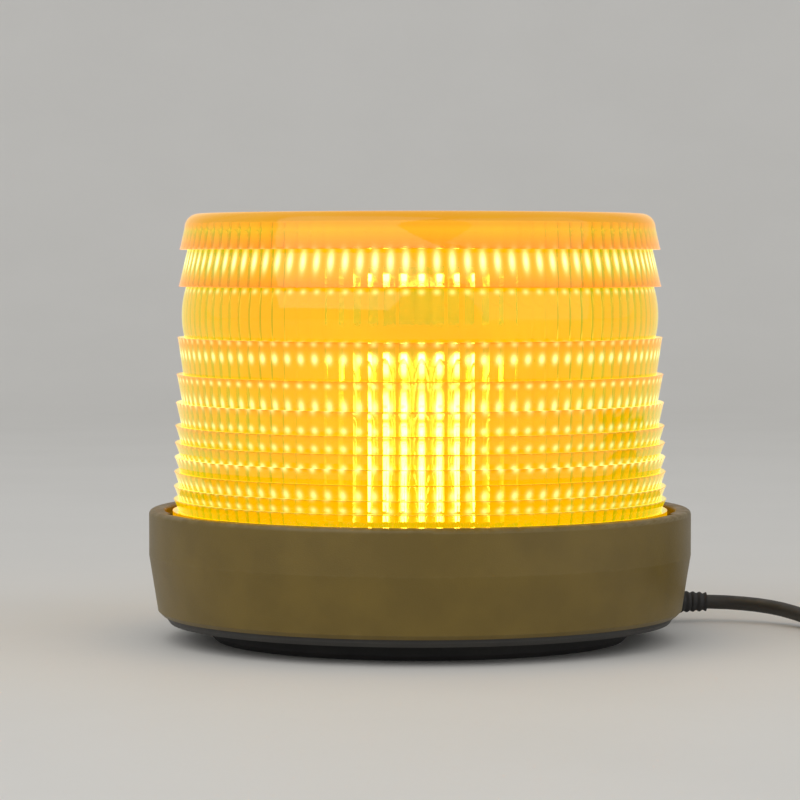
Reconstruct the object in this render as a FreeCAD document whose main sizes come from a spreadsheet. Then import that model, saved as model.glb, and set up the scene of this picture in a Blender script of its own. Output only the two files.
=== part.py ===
import FreeCAD, Part
import math
import os
import re
import Sketcher

# Rotating beacon on a magnetic foot: an amber Fresnel lens over a lamp whose reflector is
# driven round by a small motor, on a low bowl-shaped base with a two-core supply cord.
# Millimetres, +Z up, origin on the floor at the middle of the foot, front towards -Y.

SIZES = {
    # base housing
    "base_radius": 80.2,
    "base_wall": 2.5,
    "rim_height": 38.5,
    "rim_round": 1.4,
    "waist_height": 25.2,
    "hem_taper": 2.6,
    "hem_height": 8.8,
    "hem_chamfer": 1.2,
    "lip_width": 4.7,
    "lip_thickness": 2.8,
    "channel_floor": 29.4,
    "channel_thickness": 2.4,
    "collar_inset": 14.2,
    "deck_thickness": 2.5,
    "rib_count": 8,
    "rib_angle": 1.4,
    "rib_first": 7.5,
    "rib_reach": 12.0,
    "rib_root": 6.0,
    "rib_bite": 0.5,
    "rib_drop": 2.0,
    "rib_clearance": 0.8,
    "bore_margin": 1.0,
    # bottom cover and its screws
    "cover_height": 5.3,
    "cover_thickness": 2.3,
    "cover_inset": 2.6,
    "cover_chamfer": 0.8,
    "cover_screw_count": 4,
    "cover_screw_inset": 8.6,
    "cover_screw_angle": 75,
    "cover_slot_length": 12.0,
    "cover_slot_inset": 11.0,
    "screw_boss_radius": 3.6,
    "screw_radius": 1.75,
    "screw_head_radius": 3.3,
    "screw_length": 12,
    # magnet foot
    "foot_radius": 62.0,
    "foot_chamfer": 1.5,
    "foot_skin": 1.2,
    "pot_radius": 50.0,
    "pot_wall": 2.4,
    "magnet_thickness": 5.0,
    "magnet_bore": 12.0,
    "magnet_gap": 2.0,
    "well_wall": 2.2,
    "bolt_radius": 3.0,
    "bolt_head_radius": 5.0,
    "bolt_head_height": 3.3,
    "bolt_end": 1.0,
    "nut_width": 10.0,
    "nut_height": 5.0,
    # lens
    "lens_height": 125.6,
    "lens_corner": 4.1,
    "lens_roof": 3.3,
    "lens_foot_inset": 7.0,
    "lens_foot_thickness": 6.8,
    "shoulder_inset": 10.7,
    "focus_drop": 28.85,
    "prism_pattern_height": 94.2,
    "tip_inset": 8.7,
    "tip_draft": 0.026,
    "root_inset": 10.85,
    "root_draft": 0.036,
    "band_bulge_radius": 28.0,
    "prism_one": 7.45,
    "prism_two": 18.3,
    "prism_three": 26.6,
    "prism_four": 33.4,
    "prism_five": 38.4,
    "prism_six": 42.6,
    "prism_seven": 46.9,
    "prism_eight": 51.2,
    "prism_nine": 55.0,
    "flute_count": 96,
    "flute_inset": 12.4,
    "flute_depth": 0.9,
    # twist lock of the lens
    "lug_count": 3,
    "lug_angle": 20,
    "lug_thickness": 2.7,
    "lug_clearance": 0.3,
    "notch_first": 90,
    "notch_margin_angle": 4,
    "notch_depth": 8.4,
    "twist_angle": 26,
    "gasket_thickness": 2.0,
    "gasket_margin": 0.8,
    # lamp post and lamp
    "lamp_stand": 36.5,
    "post_radius": 9.6,
    "post_height": 51.0,
    "post_flange_radius": 17.0,
    "post_flange_thickness": 2.0,
    "post_screw_circle": 14.0,
    "post_screw_count": 3,
    "post_screw_angle": 30,
    "post_screw_radius": 1.2,
    "post_screw_head": 2.2,
    "post_screw_end": 2.0,
    "socket_wall": 0.75,
    "socket_below_cap": 11.45,
    "socket_below_rim": 2.45,
    "cap_radius": 7.5,
    "cap_fit": 0.15,
    "cap_round": 1.0,
    "cap_contact_radius": 2.8,
    "cap_contact_tip": 2.2,
    "pin_drop": 31.8,
    "pin_radius": 1.0,
    "pin_length": 0.8,
    "cap_below_pin": 6.5,
    "cap_above_pin": 6.5,
    "bulb_radius": 12.8,
    "bulb_wall": 0.8,
    "bulb_crown": 0.8,
    "bulb_neck_radius": 6.9,
    "bulb_neck_height": 2.0,
    "stem_radius": 3.0,
    "stem_top_radius": 2.0,
    "stem_height": 9.0,
    "wire_spacing": 2.8,
    "filament_length": 7.0,
    "filament_radius": 0.5,
    "wire_radius": 0.3,
    "contact_radius": 2.6,
    "contact_stem_radius": 1.3,
    "contact_head_height": 2.4,
    "contact_end": 1.0,
    "insulator_rise": 1.0,
    "insulator_height": 2.5,
    "spring_turns": 4,
    "spring_wire": 0.3,
    # rotor and drive
    "gear_module": 1.0,
    "gear_teeth": 72,
    "pinion_teeth": 12,
    "pressure_angle": 25,
    "tooth_addendum": 0.8,
    "tooth_dedendum": 1.1,
    "tooth_backlash": 0.12,
    "gear_bottom": 41.6,
    "gear_width": 4.4,
    "web_thickness": 2.2,
    "rim_wall": 3.0,
    "hub_wall": 3.2,
    "hub_drop": 0.6,
    "hub_height": 7.6,
    "running_fit": 0.08,
    "gear_hole_radius": 6.5,
    "gear_hole_count": 6,
    "clip_clearance": 0.15,
    "clip_thickness": 0.8,
    "clip_radius": 12.2,
    "clip_groove": 0.5,
    "shaft_radius": 1.0,
    "shaft_depth": 4.0,
    "shaft_end": 1.0,
    "pinion_width": 5.4,
    "motor_angle": 135,
    "motor_radius": 12.2,
    "motor_length": 22.4,
    "motor_boss_radius": 3.1,
    "motor_boss_height": 1.6,
    "motor_bore_depth": 5.0,
    "motor_cap_height": 2.2,
    "motor_cap_chamfer": 1.0,
    "motor_screw_spacing": 17.0,
    "motor_screw_radius": 1.3,
    "pan_head_radius": 2.4,
    "pan_head_top": 2.0,
    "pan_head_height": 1.4,
    "terminal_tab_length": 2.4,
    "terminal_tab_width": 2.0,
    "terminal_tab_thickness": 0.5,
    "terminal_tab_spacing": 12.0,
    # reflector
    "focal_length": 18.0,
    "dish_half_width": 18.0,
    "dish_above_lamp": 20.0,
    "dish_below_lamp": 22.0,
    "dish_thickness": 1.2,
    "bracket_thickness": 1.2,
    "bracket_width": 14.0,
    "bracket_foot": 9.0,
    "bracket_screw_inset": 3.0,
    "dish_boss_radius": 6.0,
    "dish_boss_height": 1.6,
    # electrics
    "lead_radius": 0.8,
    "terminal_length": 20.0,
    "terminal_width": 10.0,
    "terminal_height": 9.0,
    "terminal_angle": 5,
    "terminal_inset": 19.5,
    "terminal_pole_spacing": 6.5,
    "terminal_screw_radius": 1.6,
    "terminal_screw_depth": 3.0,
    "terminal_entry_height": 5.4,
    "lead_grip": 2.0,
    "motor_lead_run": 18.0,
    "lamp_lead_run": 20.0,
    "lamp_lead_turn": 10.0,
    "lamp_lead_dip": 5.0,
    "core_spacing": 2.2,
    "sheath_reach": 3.6,
    "core_gap": 0.9,
    "core_run": 15.0,
    "core_bend_angle": 2,
    "core_bend_inset": 20.2,
    "core_bend_height": 13.0,
    # cord and plug
    "cord_radius": 2.2,
    "cord_exit_height": 6.2,
    "cord_exit_angle": 30,
    "cord_straight": 24.4,
    "gland_neck": 3.3,
    "gland_flange": 4.4,
    "gland_tail": 6.0,
    "gland_tail_wall": 0.8,
    "gland_flange_thickness": 1.8,
    "coil_radius": 26.4,
    "coil_turns_across": 6,
    "coil_layers": 2,
    "plug_radius": 12.0,
    "plug_shell_length": 49.0,
    "plug_sleeve_length": 9.0,
    "plug_sleeve_wall": 1.2,
    "plug_sleeve_flare": 2.4,
    "plug_shoulder_start": 13.0,
    "plug_shoulder_step": 2.5,
    "plug_shoulder_end": 26.0,
    "plug_front_chamfer": 3.0,
    "plug_front_margin": 0.3,
    "plug_nose_radius": 10.3,
    "plug_nose_length": 30.0,
    "plug_nose_cone": 8.0,
    "plug_nose_lip": 2.5,
    "plug_tip_radius": 3.5,
    "plug_tip_travel": 3.0,
    "plug_tip_stand": 1.0,
    "plug_leaf_start": 5.0,
    "plug_leaf_width": 5.0,
    "plug_leaf_rise": 2.0,
    "plug_leaf_length": 20.0,
    "plug_leaf_thickness": 0.5,
}
PRISMS = ["one", "two", "three", "four", "five", "six", "seven", "eight", "nine"]

document = FreeCAD.newDocument("RotatingBeacon")
sheet = document.addObject("Spreadsheet::Sheet", "Sizes")
for row, (name, number) in enumerate(SIZES.items(), start=1):
    sheet.set(f"A{row}", name)
    sheet.set(f"B{row}", str(number))
    sheet.setAlias(f"B{row}", name)
document.recompute()

parts = []


def bound(text):
    """An expression with every size's name turned into a reference to its cell."""
    def cell(word):
        name = word.group()
        return f"Sizes.{name}" if name in SIZES else name
    return re.sub(r"[a-z_]+", cell, str(text))


def size(text):
    """The number that an expression in the sizes' names comes to."""
    return float(sheet.evalExpression(bound(text)))


def keep(item, label):
    """Makes a document object one of the sub-parts that are written out."""
    item.Label = label
    parts.append(item)
    return item


def drive(item, **sizes):
    """Binds properties of an object to expressions in the sizes' names."""
    for name, text in sizes.items():
        item.setExpression(name.replace("_at_", ".Base."), bound(text))
    return item


def turned(angle, radius=0.0, height=0.0):
    """The point at an angle in degrees round the axis."""
    turn = math.radians(angle)
    return FreeCAD.Vector(radius * math.cos(turn), radius * math.sin(turn), height)


def at_angle(radius, angle):
    """Expressions for the x and y of a point at an angle in degrees round the axis."""
    return f"({radius}) * cos({angle})", f"({radius}) * sin({angle})"


def about_axis(angle):
    return FreeCAD.Placement(FreeCAD.Vector(), FreeCAD.Rotation(FreeCAD.Vector(0, 0, 1), angle))


def origin_item(body, role):
    return next(item for item in body.Origin.OriginFeatures if item.Role == role)


def bulged(start, end, radius):
    """The middle of an arc from start to end, bulging to the right of the way it runs."""
    middle = (start + end) * 0.5
    half = (end - start).Length / 2
    rise = abs(radius) - math.sqrt(radius * radius - half * half)
    along = (end - start).normalize()
    side = FreeCAD.Vector(along.y, -along.x, 0)
    return middle + side * math.copysign(rise, radius)


def outline(body, role, corners, lift="0"):
    """A closed sketch whose corners, and the radii of its arcs, are bound to the sizes.

    A corner is (x, y), or (x, y, radius) where an arc of that radius leads on from it."""
    sketch = body.newObject("Sketcher::SketchObject", body.Name + "Outline")
    sketch.AttachmentSupport = [(origin_item(body, role), "")]
    sketch.MapMode = "FlatFace"
    if lift != "0":
        sketch.setExpression("AttachmentOffset.Base.z", bound(lift))
    spots = [FreeCAD.Vector(size(corner[0]), size(corner[1]), 0) for corner in corners]
    ends = []
    for place, corner in enumerate(corners):
        start = spots[place]
        end = spots[(place + 1) % len(spots)]
        if len(corner) == 3:
            middle = bulged(start, end, size(corner[2]))
            forward = size(corner[2]) > 0
            arc = Part.Arc(start, middle, end) if forward else Part.Arc(end, middle, start)
            item = sketch.addGeometry(arc, False)
            ends.append((item, 1, 2) if forward else (item, 2, 1))
            rule = sketch.addConstraint(Sketcher.Constraint("Radius", item, abs(size(corner[2]))))
            sketch.setExpression(f"Constraints[{rule}]", bound(f"abs({corner[2]})"))
        else:
            item = sketch.addGeometry(Part.LineSegment(start, end), False)
            ends.append((item, 1, 2))
    for place, (item, first, last) in enumerate(ends):
        after = ends[(place + 1) % len(ends)]
        sketch.addConstraint(Sketcher.Constraint("Coincident", item, last, after[0], after[1]))
    for (item, first, last), corner, spot in zip(ends, corners, spots):
        for kind, text, number, axis in (
            ("DistanceX", corner[0], spot.x, -2),
            ("DistanceY", corner[1], spot.y, -1),
        ):
            if str(text) == "0":
                sketch.addConstraint(Sketcher.Constraint("PointOnObject", item, first, axis))
                continue
            rule = sketch.addConstraint(Sketcher.Constraint(kind, -1, 1, item, first, number))
            sketch.setExpression(f"Constraints[{rule}]", bound(text))
    return sketch


def revolved(name, corners, angle="360"):
    """A body turned about its Z axis from an outline of (radius, height) corners."""
    body = document.addObject("PartDesign::Body", name)
    sketch = outline(body, "XZ_Plane", corners)
    turn = body.newObject("PartDesign::Revolution", name + "Turn")
    turn.Profile = sketch
    turn.ReferenceAxis = (sketch, ["V_Axis"])
    turn.setExpression("Angle", bound(angle))
    sketch.Visibility = False
    document.recompute()
    return body


def ring_corners(inner, outer, bottom, top):
    return [(inner, bottom), (outer, bottom), (outer, top), (inner, top)]


def round_rims(body, rims, radius):
    """Rounds the circular edges of a turned body that lie at the (radius, height) rims."""
    spots = [(size(across), size(height)) for across, height in rims]
    edges = []
    for number, edge in enumerate(body.Tip.Shape.Edges, start=1):
        if not isinstance(edge.Curve, Part.Circle):
            continue
        at = (edge.Curve.Radius, edge.Curve.Center.z)
        if any(math.dist(at, spot) < 1e-4 for spot in spots):
            edges.append(f"Edge{number}")
    base = body.Tip
    fillet = body.newObject("PartDesign::Fillet", body.Name + f"Round{len(body.Group)}")
    fillet.Base = (base, edges)
    fillet.setExpression("Radius", bound(radius))
    document.recompute()
    return body


def cylinder(name, radius, height, bottom="0", x="0", y="0"):
    item = document.addObject("Part::Cylinder", name)
    item.setExpression("Radius", bound(radius))
    item.setExpression("Height", bound(height))
    for axis, text in (("x", x), ("y", y), ("z", bottom)):
        if text != "0":
            item.setExpression(f"Placement.Base.{axis}", bound(text))
    return item


def sector(name, radius, height, bottom, width, middle):
    """A wedge of a cylinder, so wide in degrees, about the angle of its middle."""
    item = document.addObject("Part::Cylinder", name)
    item.setExpression("Radius", bound(radius))
    item.setExpression("Height", bound(height))
    item.setExpression("Angle", bound(width))
    item.Placement.Rotation = FreeCAD.Rotation(
        FreeCAD.Vector(0, 0, 1), size(middle) - size(width) / 2
    )
    item.setExpression("Placement.Base.z", bound(bottom))
    return item


def fused(name, items):
    joined = document.addObject("Part::MultiFuse", name)
    joined.Shapes = items
    return joined


def cut(name, base, tools):
    """The base less its tools."""
    tool = tools[0] if len(tools) == 1 else fused(name + "Tools", tools)
    left = document.addObject("Part::Cut", name)
    left.Base = base
    left.Tool = tool
    return left


def solid(name, shape, place=None):
    item = document.addObject("Part::Feature", name)
    item.Shape = shape
    if place is not None:
        item.Placement = place
    return item


def grouped(name, items):
    group = document.addObject("Part::Compound", name)
    group.Links = items
    return group


def round_the_axis(count, first=0.0):
    """The angles of so many places evenly round the axis."""
    return [first + place * 360.0 / count for place in range(int(count))]


# Sizes that follow from the ones in the sheet.

HEM_RADIUS = "base_radius - hem_taper"
LIP_RADIUS = "base_radius - lip_width"
COLLAR_RADIUS = "base_radius - collar_inset"
SHELL_BORE = "base_radius - base_wall"
CHANNEL_UNDERSIDE = "channel_floor - channel_thickness"
DECK_UNDERSIDE = "rim_height - deck_thickness"
COVER_TOP = "cover_height + cover_thickness"
COVER_RADIUS = f"{HEM_RADIUS} - cover_inset"
COVER_SCREW_CIRCLE = f"{HEM_RADIUS} - cover_screw_inset"
POT_TOP = "foot_skin + magnet_thickness + pot_wall"
WELL_TOP = POT_TOP + " + well_wall"
LENS_SEAT = "channel_floor + gasket_thickness"
LENS_FOOT_RADIUS = "base_radius - lens_foot_inset"
LENS_FOOT_TOP = LENS_SEAT + " + lens_foot_thickness"
LENS_SHOULDER = "base_radius - shoulder_inset"
FLUTE_RADIUS = "base_radius - flute_inset"
PRISM_SCALE = f"(lens_height - ({LENS_SEAT})) / prism_pattern_height"
FOCUS = f"lens_height - focus_drop * {PRISM_SCALE}"
LAMP_HEIGHT = "rim_height + lamp_stand"
PIN_HEIGHT = LAMP_HEIGHT + " - pin_drop"
CAP_BOTTOM = PIN_HEIGHT + " - cap_below_pin"
CAP_TOP = PIN_HEIGHT + " + cap_above_pin"
SOCKET_BOTTOM = CAP_BOTTOM + " - socket_below_cap"
SOCKET_TOP = CAP_TOP + " - socket_below_rim"
HUB_BORE = "post_radius + running_fit"
HUB_BOTTOM = "gear_bottom - hub_drop"
HUB_TOP = HUB_BOTTOM + " + hub_height"
FLANGE_TOP = "rim_height + post_flange_thickness"
NUT_CORNER = "nut_width / sqrt(3)"
POST_BORE = "cap_radius + cap_fit + socket_wall"
TERMINAL_BOTTOM = DECK_UNDERSIDE + " - terminal_height"
MOTOR_BOTTOM = DECK_UNDERSIDE + " - motor_length"


def prism_height(which, side):
    """The flat of a prism ring, below (-1) or above (+1) the focal plane."""
    return f"{FOCUS} {'+' if side > 0 else '-'} prism_{which} * {PRISM_SCALE}"


def drafted(start, draft, height):
    """A lens radius that widens towards the foot."""
    return f"base_radius - {start} + {draft} * ({FOCUS} - ({height}))"


def tip(height):
    return drafted("tip_inset", "tip_draft", height)


def root(height):
    return drafted("root_inset", "root_draft", height)


def lens_corners():
    corners = [
        ("0", LENS_SEAT),
        (LENS_FOOT_RADIUS, LENS_SEAT),
        (LENS_FOOT_RADIUS, LENS_FOOT_TOP),
        (root(LENS_FOOT_TOP), LENS_FOOT_TOP),
    ]
    for which in reversed(PRISMS):
        flat = prism_height(which, -1)
        corners += [(tip(flat), flat), (root(flat), flat)]
    corners[-1] += ("band_bulge_radius",)
    first = prism_height("one", 1)
    second = prism_height("two", 1)
    corners += [
        (root(first), first),
        (tip(first), first),
        (root(second), second),
        (tip(second), second),
        (LENS_SHOULDER, "lens_height - lens_corner", "lens_corner"),
        (LENS_SHOULDER + " - lens_corner", "lens_height"),
        ("0", "lens_height"),
    ]
    return corners


def fluted_prism(count, outer, depth, bottom, top):
    """A round column whose side is hollowed by so many upright flutes, meeting in cusps."""
    cusps = [turned(angle, outer) for angle in round_the_axis(count)]
    hollow = outer - depth
    edges = []
    for place, cusp in enumerate(cusps):
        middle = turned((place + 0.5) * 360.0 / count, hollow)
        edges.append(Part.Arc(cusp, middle, cusps[(place + 1) % len(cusps)]).toShape())
    face = Part.Face(Part.Wire(edges))
    face.translate(FreeCAD.Vector(0, 0, bottom))
    return face.extrude(FreeCAD.Vector(0, 0, top - bottom))


def lens():
    blank = revolved("LensBlank", lens_corners())
    lugs = [
        sector(
            f"LensLug{place}",
            SHELL_BORE + " - 2 * lug_clearance",
            "lug_thickness",
            "rim_height - lip_thickness - lug_thickness - lug_clearance",
            "lug_angle",
            f"notch_first - twist_angle + {angle}",
        )
        for place, angle in enumerate(round_the_axis(size("lug_count")))
    ]
    core = solid("LensCore", fluted_prism(
        int(size("flute_count")),
        size(FLUTE_RADIUS),
        size("flute_depth"),
        size(LENS_SEAT + " - bore_margin"),
        size("lens_height - lens_roof"),
    ))
    keep(cut("Lens", fused("LensSolid", [blank] + lugs), [core]), "lens")


def base_housing():
    shell = revolved("HousingShell", [
        (HEM_RADIUS + " - base_wall - hem_chamfer", COVER_TOP),
        (HEM_RADIUS + " - hem_chamfer", COVER_TOP),
        (HEM_RADIUS, "hem_height"),
        ("base_radius", "waist_height"),
        ("base_radius", "rim_height"),
        (LIP_RADIUS, "rim_height"),
        (LIP_RADIUS, "rim_height - lip_thickness"),
        (SHELL_BORE, "rim_height - lip_thickness"),
        (SHELL_BORE, "channel_floor"),
        (COLLAR_RADIUS, "channel_floor"),
        (COLLAR_RADIUS, "rim_height"),
        ("post_radius", "rim_height"),
        ("post_radius", DECK_UNDERSIDE),
        (COLLAR_RADIUS + " - base_wall", DECK_UNDERSIDE),
        (COLLAR_RADIUS + " - base_wall", CHANNEL_UNDERSIDE),
        (SHELL_BORE, CHANNEL_UNDERSIDE),
        (HEM_RADIUS + " - base_wall", "hem_height"),
    ])
    round_rims(shell, [("base_radius", "rim_height")], "rim_round")
    round_rims(shell, [(LIP_RADIUS, "rim_height")], "rim_round / 2")
    holes = lip_notches() + deck_holes()
    for place, (x, y) in enumerate(cover_screw_spots()):
        holes.append(cylinder(f"HousingScrewHole{place}", "screw_radius", "screw_length",
                              "cover_height", x, y))
    gland = cylinder("GlandNotch", "gland_neck", "base_radius - (" + COVER_SCREW_CIRCLE + ")")
    gland.Placement = radial(size("cord_exit_angle"), size(COVER_SCREW_CIRCLE),
                             size("cord_exit_height"))
    holes.append(gland)
    solids = fused("HousingSolid", [shell] + screw_bosses() + channel_ribs())
    keep(cut("Housing", solids, holes), "base_housing")


def cover_screw_spots():
    angles = round_the_axis(size("cover_screw_count"), size("cover_screw_angle"))
    return [at_angle(COVER_SCREW_CIRCLE, angle) for angle in angles]


def screw_bosses():
    """Columns under the channel that the cover's screws go up into."""
    height = f"{CHANNEL_UNDERSIDE} - ({COVER_TOP})"
    return [cylinder(f"HousingBoss{place}", "screw_boss_radius", height, COVER_TOP, x, y)
            for place, (x, y) in enumerate(cover_screw_spots())]


def channel_ribs():
    """Webs inside the bowl that hold its wall to the underside of the channel."""
    wall = HEM_RADIUS + " - base_wall"
    ribs = []
    for place, angle in enumerate(round_the_axis(size("rib_count"), size("rib_first"))):
        rib = revolved(f"HousingRib{place}", [
            (wall + " - rib_reach + rib_root", COVER_TOP + " + rib_clearance"),
            (wall + " + rib_bite", COVER_TOP + " + rib_clearance"),
            (SHELL_BORE + " + rib_bite", CHANNEL_UNDERSIDE + " - rib_drop"),
            (SHELL_BORE + " + rib_bite", CHANNEL_UNDERSIDE + " + rib_bite"),
            (wall + " - rib_reach", CHANNEL_UNDERSIDE + " + rib_bite"),
            (wall + " - rib_reach", CHANNEL_UNDERSIDE + " - 2 * rib_drop"),
        ], "rib_angle")
        rib.Placement = about_axis(angle)
        ribs.append(rib)
    return ribs


def lip_notches():
    """Gaps in the rim's lip that let the lugs of the lens through."""
    notches = []
    for place, angle in enumerate(round_the_axis(size("lug_count"), size("notch_first"))):
        wedge = sector(
            f"NotchWedge{place}",
            SHELL_BORE + " - lug_clearance",
            "lip_thickness + 2 * bore_margin",
            "rim_height - lip_thickness - bore_margin",
            "lug_angle + notch_margin_angle",
            angle,
        )
        core = cylinder(f"NotchCore{place}", SHELL_BORE + " - lug_clearance - notch_depth",
                        "lip_thickness + 4 * bore_margin",
                        "rim_height - lip_thickness - 2 * bore_margin")
        notches.append(cut(f"Notch{place}", wedge, [core]))
    return notches


def deck_holes():
    """Holes in the deck for the motor's boss and screws and for the lamp post's screws."""
    depth = "deck_thickness + 2 * bore_margin"
    bottom = DECK_UNDERSIDE + " - bore_margin"
    x, y = motor_spot()
    holes = [cylinder("MotorBossHole", "motor_boss_radius", depth, bottom, x, y)]
    for side in (-1, 1):
        x, y = motor_screw_spot(side)
        holes.append(cylinder(f"MotorScrewHole{side + 1}", "motor_screw_radius", depth,
                              bottom, x, y))
    for place, (x, y) in enumerate(post_screw_spots()):
        holes.append(cylinder(f"PostScrewHole{place}", "post_screw_radius", depth, bottom, x, y))
    return holes


def post_screw_spots():
    angles = round_the_axis(size("post_screw_count"), size("post_screw_angle"))
    return [at_angle("post_screw_circle", angle) for angle in angles]


def countersink(name, x, y, narrow, wide, bottom, height, down):
    """The cone that a countersunk head goes into, opening downwards or upwards."""
    sink = document.addObject("Part::Cone", name)
    sink.setExpression("Radius1", bound(wide if down else narrow))
    sink.setExpression("Radius2", bound(narrow if down else wide))
    sink.setExpression("Height", bound(height))
    return drive(sink, Placement_at_x=x, Placement_at_y=y, Placement_at_z=bottom)


def radial(angle, radius, height):
    """A placement that points the Z axis of a turned piece outwards at an angle."""
    outward = turned(angle, 1)
    return FreeCAD.Placement(
        turned(angle, radius, height), FreeCAD.Rotation(FreeCAD.Vector(0, 0, 1), outward)
    )


def motor_spot():
    reach = "(gear_teeth + pinion_teeth) * gear_module / 2"
    return f"{reach} * cos(motor_angle)", f"{reach} * sin(motor_angle)"


def motor_screw_spot(side):
    x, y = motor_spot()
    half = f"{side} * motor_screw_spacing / 2"
    return f"{x} + {half} * sin(motor_angle)", f"{y} - {half} * cos(motor_angle)"


def bottom_cover():
    well = "pot_radius + running_fit"
    plate = revolved("CoverPlate", [
        ("bolt_radius", POT_TOP),
        (well, POT_TOP),
        (well, "cover_height"),
        (COVER_RADIUS + " - cover_chamfer", "cover_height"),
        (COVER_RADIUS, "cover_height + cover_thickness / 2"),
        (COVER_RADIUS, COVER_TOP),
        (well + " + well_wall", COVER_TOP),
        (well + " + well_wall", WELL_TOP),
        ("bolt_radius", WELL_TOP),
    ])
    holes = []
    for place, (x, y) in enumerate(cover_screw_spots()):
        holes.append(cylinder(f"CoverHole{place}", "screw_radius",
                              "cover_thickness + 2 * bore_margin",
                              "cover_height - bore_margin", x, y))
        holes.append(countersink(f"CoverSink{place}", x, y, "screw_radius", "screw_head_radius",
                                 "cover_height", "screw_head_radius - screw_radius", True))
    slot = document.addObject("Part::Box", "CoverSlot")
    slot.setExpression("Length", bound("cover_slot_length"))
    slot.setExpression("Width", bound("2 * gland_flange + 2 * lug_clearance"))
    slot.setExpression("Height", bound("cover_thickness + 2 * bore_margin"))
    outward = turned(size("cord_exit_angle"), 1)
    aside = turned(size("cord_exit_angle") + 90, size("gland_flange + lug_clearance"))
    corner = outward * size(COVER_RADIUS + " - cover_slot_inset") - aside
    slot.Placement = FreeCAD.Placement(
        corner + FreeCAD.Vector(0, 0, size("cover_height - bore_margin")),
        about_axis(size("cord_exit_angle")).Rotation,
    )
    holes.append(slot)
    keep(cut("Cover", plate, holes), "bottom_cover")


def countersunk(name, x, y, bottom, radius, head, length, up):
    """A countersunk screw whose head is flush at the bottom (up) or at the top (not up)."""
    corners = [
        ("0", "0"),
        (head, "0"),
        (radius, f"{head} - ({radius})"),
        (radius, length),
        ("0", length),
    ]
    screw = revolved(name, corners)
    spot = FreeCAD.Vector(size(x), size(y), size(bottom))
    turn = FreeCAD.Rotation() if up else FreeCAD.Rotation(FreeCAD.Vector(1, 0, 0), 180)
    screw.Placement = FreeCAD.Placement(spot, turn)
    return screw


def cover_screws():
    screws = [
        countersunk(f"CoverScrew{place}", x, y, "cover_height", "screw_radius",
                    "screw_head_radius", "screw_length", True)
        for place, (x, y) in enumerate(cover_screw_spots())
    ]
    keep(grouped("CoverScrews", screws), "cover_screws")


def magnet_foot():
    keep(revolved("RubberFoot", [
        ("0", "0"),
        ("foot_radius - foot_chamfer", "0"),
        ("foot_radius", "foot_chamfer"),
        ("foot_radius", "cover_height"),
        ("pot_radius", "cover_height"),
        ("pot_radius", "foot_skin"),
        ("0", "foot_skin"),
    ]), "rubber_foot")
    keep(revolved("MagnetPot", [
        ("pot_radius - pot_wall", "foot_skin"),
        ("pot_radius", "foot_skin"),
        ("pot_radius", POT_TOP),
        ("bolt_radius", POT_TOP),
        ("bolt_radius", POT_TOP + " - pot_wall"),
        ("pot_radius - pot_wall", POT_TOP + " - pot_wall"),
    ]), "magnet_pot")
    keep(revolved("MagnetRing", ring_corners(
        "magnet_bore", "pot_radius - pot_wall - magnet_gap", "foot_skin",
        "foot_skin + magnet_thickness",
    )), "magnet_ring")
    head_bottom = POT_TOP + " - pot_wall - bolt_head_height"
    keep(revolved("MagnetBolt", [
        ("0", head_bottom),
        ("bolt_head_radius", head_bottom),
        ("bolt_head_radius", POT_TOP + " - pot_wall"),
        ("bolt_radius", POT_TOP + " - pot_wall"),
        ("bolt_radius", WELL_TOP + " + nut_height + bolt_end"),
        ("0", WELL_TOP + " + nut_height + bolt_end"),
    ]), "magnet_bolt")
    prism = document.addObject("Part::Prism", "NutPrism")
    prism.Polygon = 6
    prism.setExpression("Circumradius", bound(NUT_CORNER))
    prism.setExpression("Height", bound("nut_height"))
    prism.setExpression("Placement.Base.z", bound(WELL_TOP))
    bore = cylinder("NutBore", "bolt_radius", "nut_height + 2 * bore_margin",
                    WELL_TOP + " - bore_margin")
    keep(cut("MagnetNut", prism, [bore]), "magnet_nut")


def lens_gasket():
    keep(revolved("LensGasket", ring_corners(
        FLUTE_RADIUS + " - flute_depth - gasket_margin", LENS_FOOT_RADIUS + " + gasket_margin",
        "channel_floor", LENS_SEAT,
    )), "lens_gasket")


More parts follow.
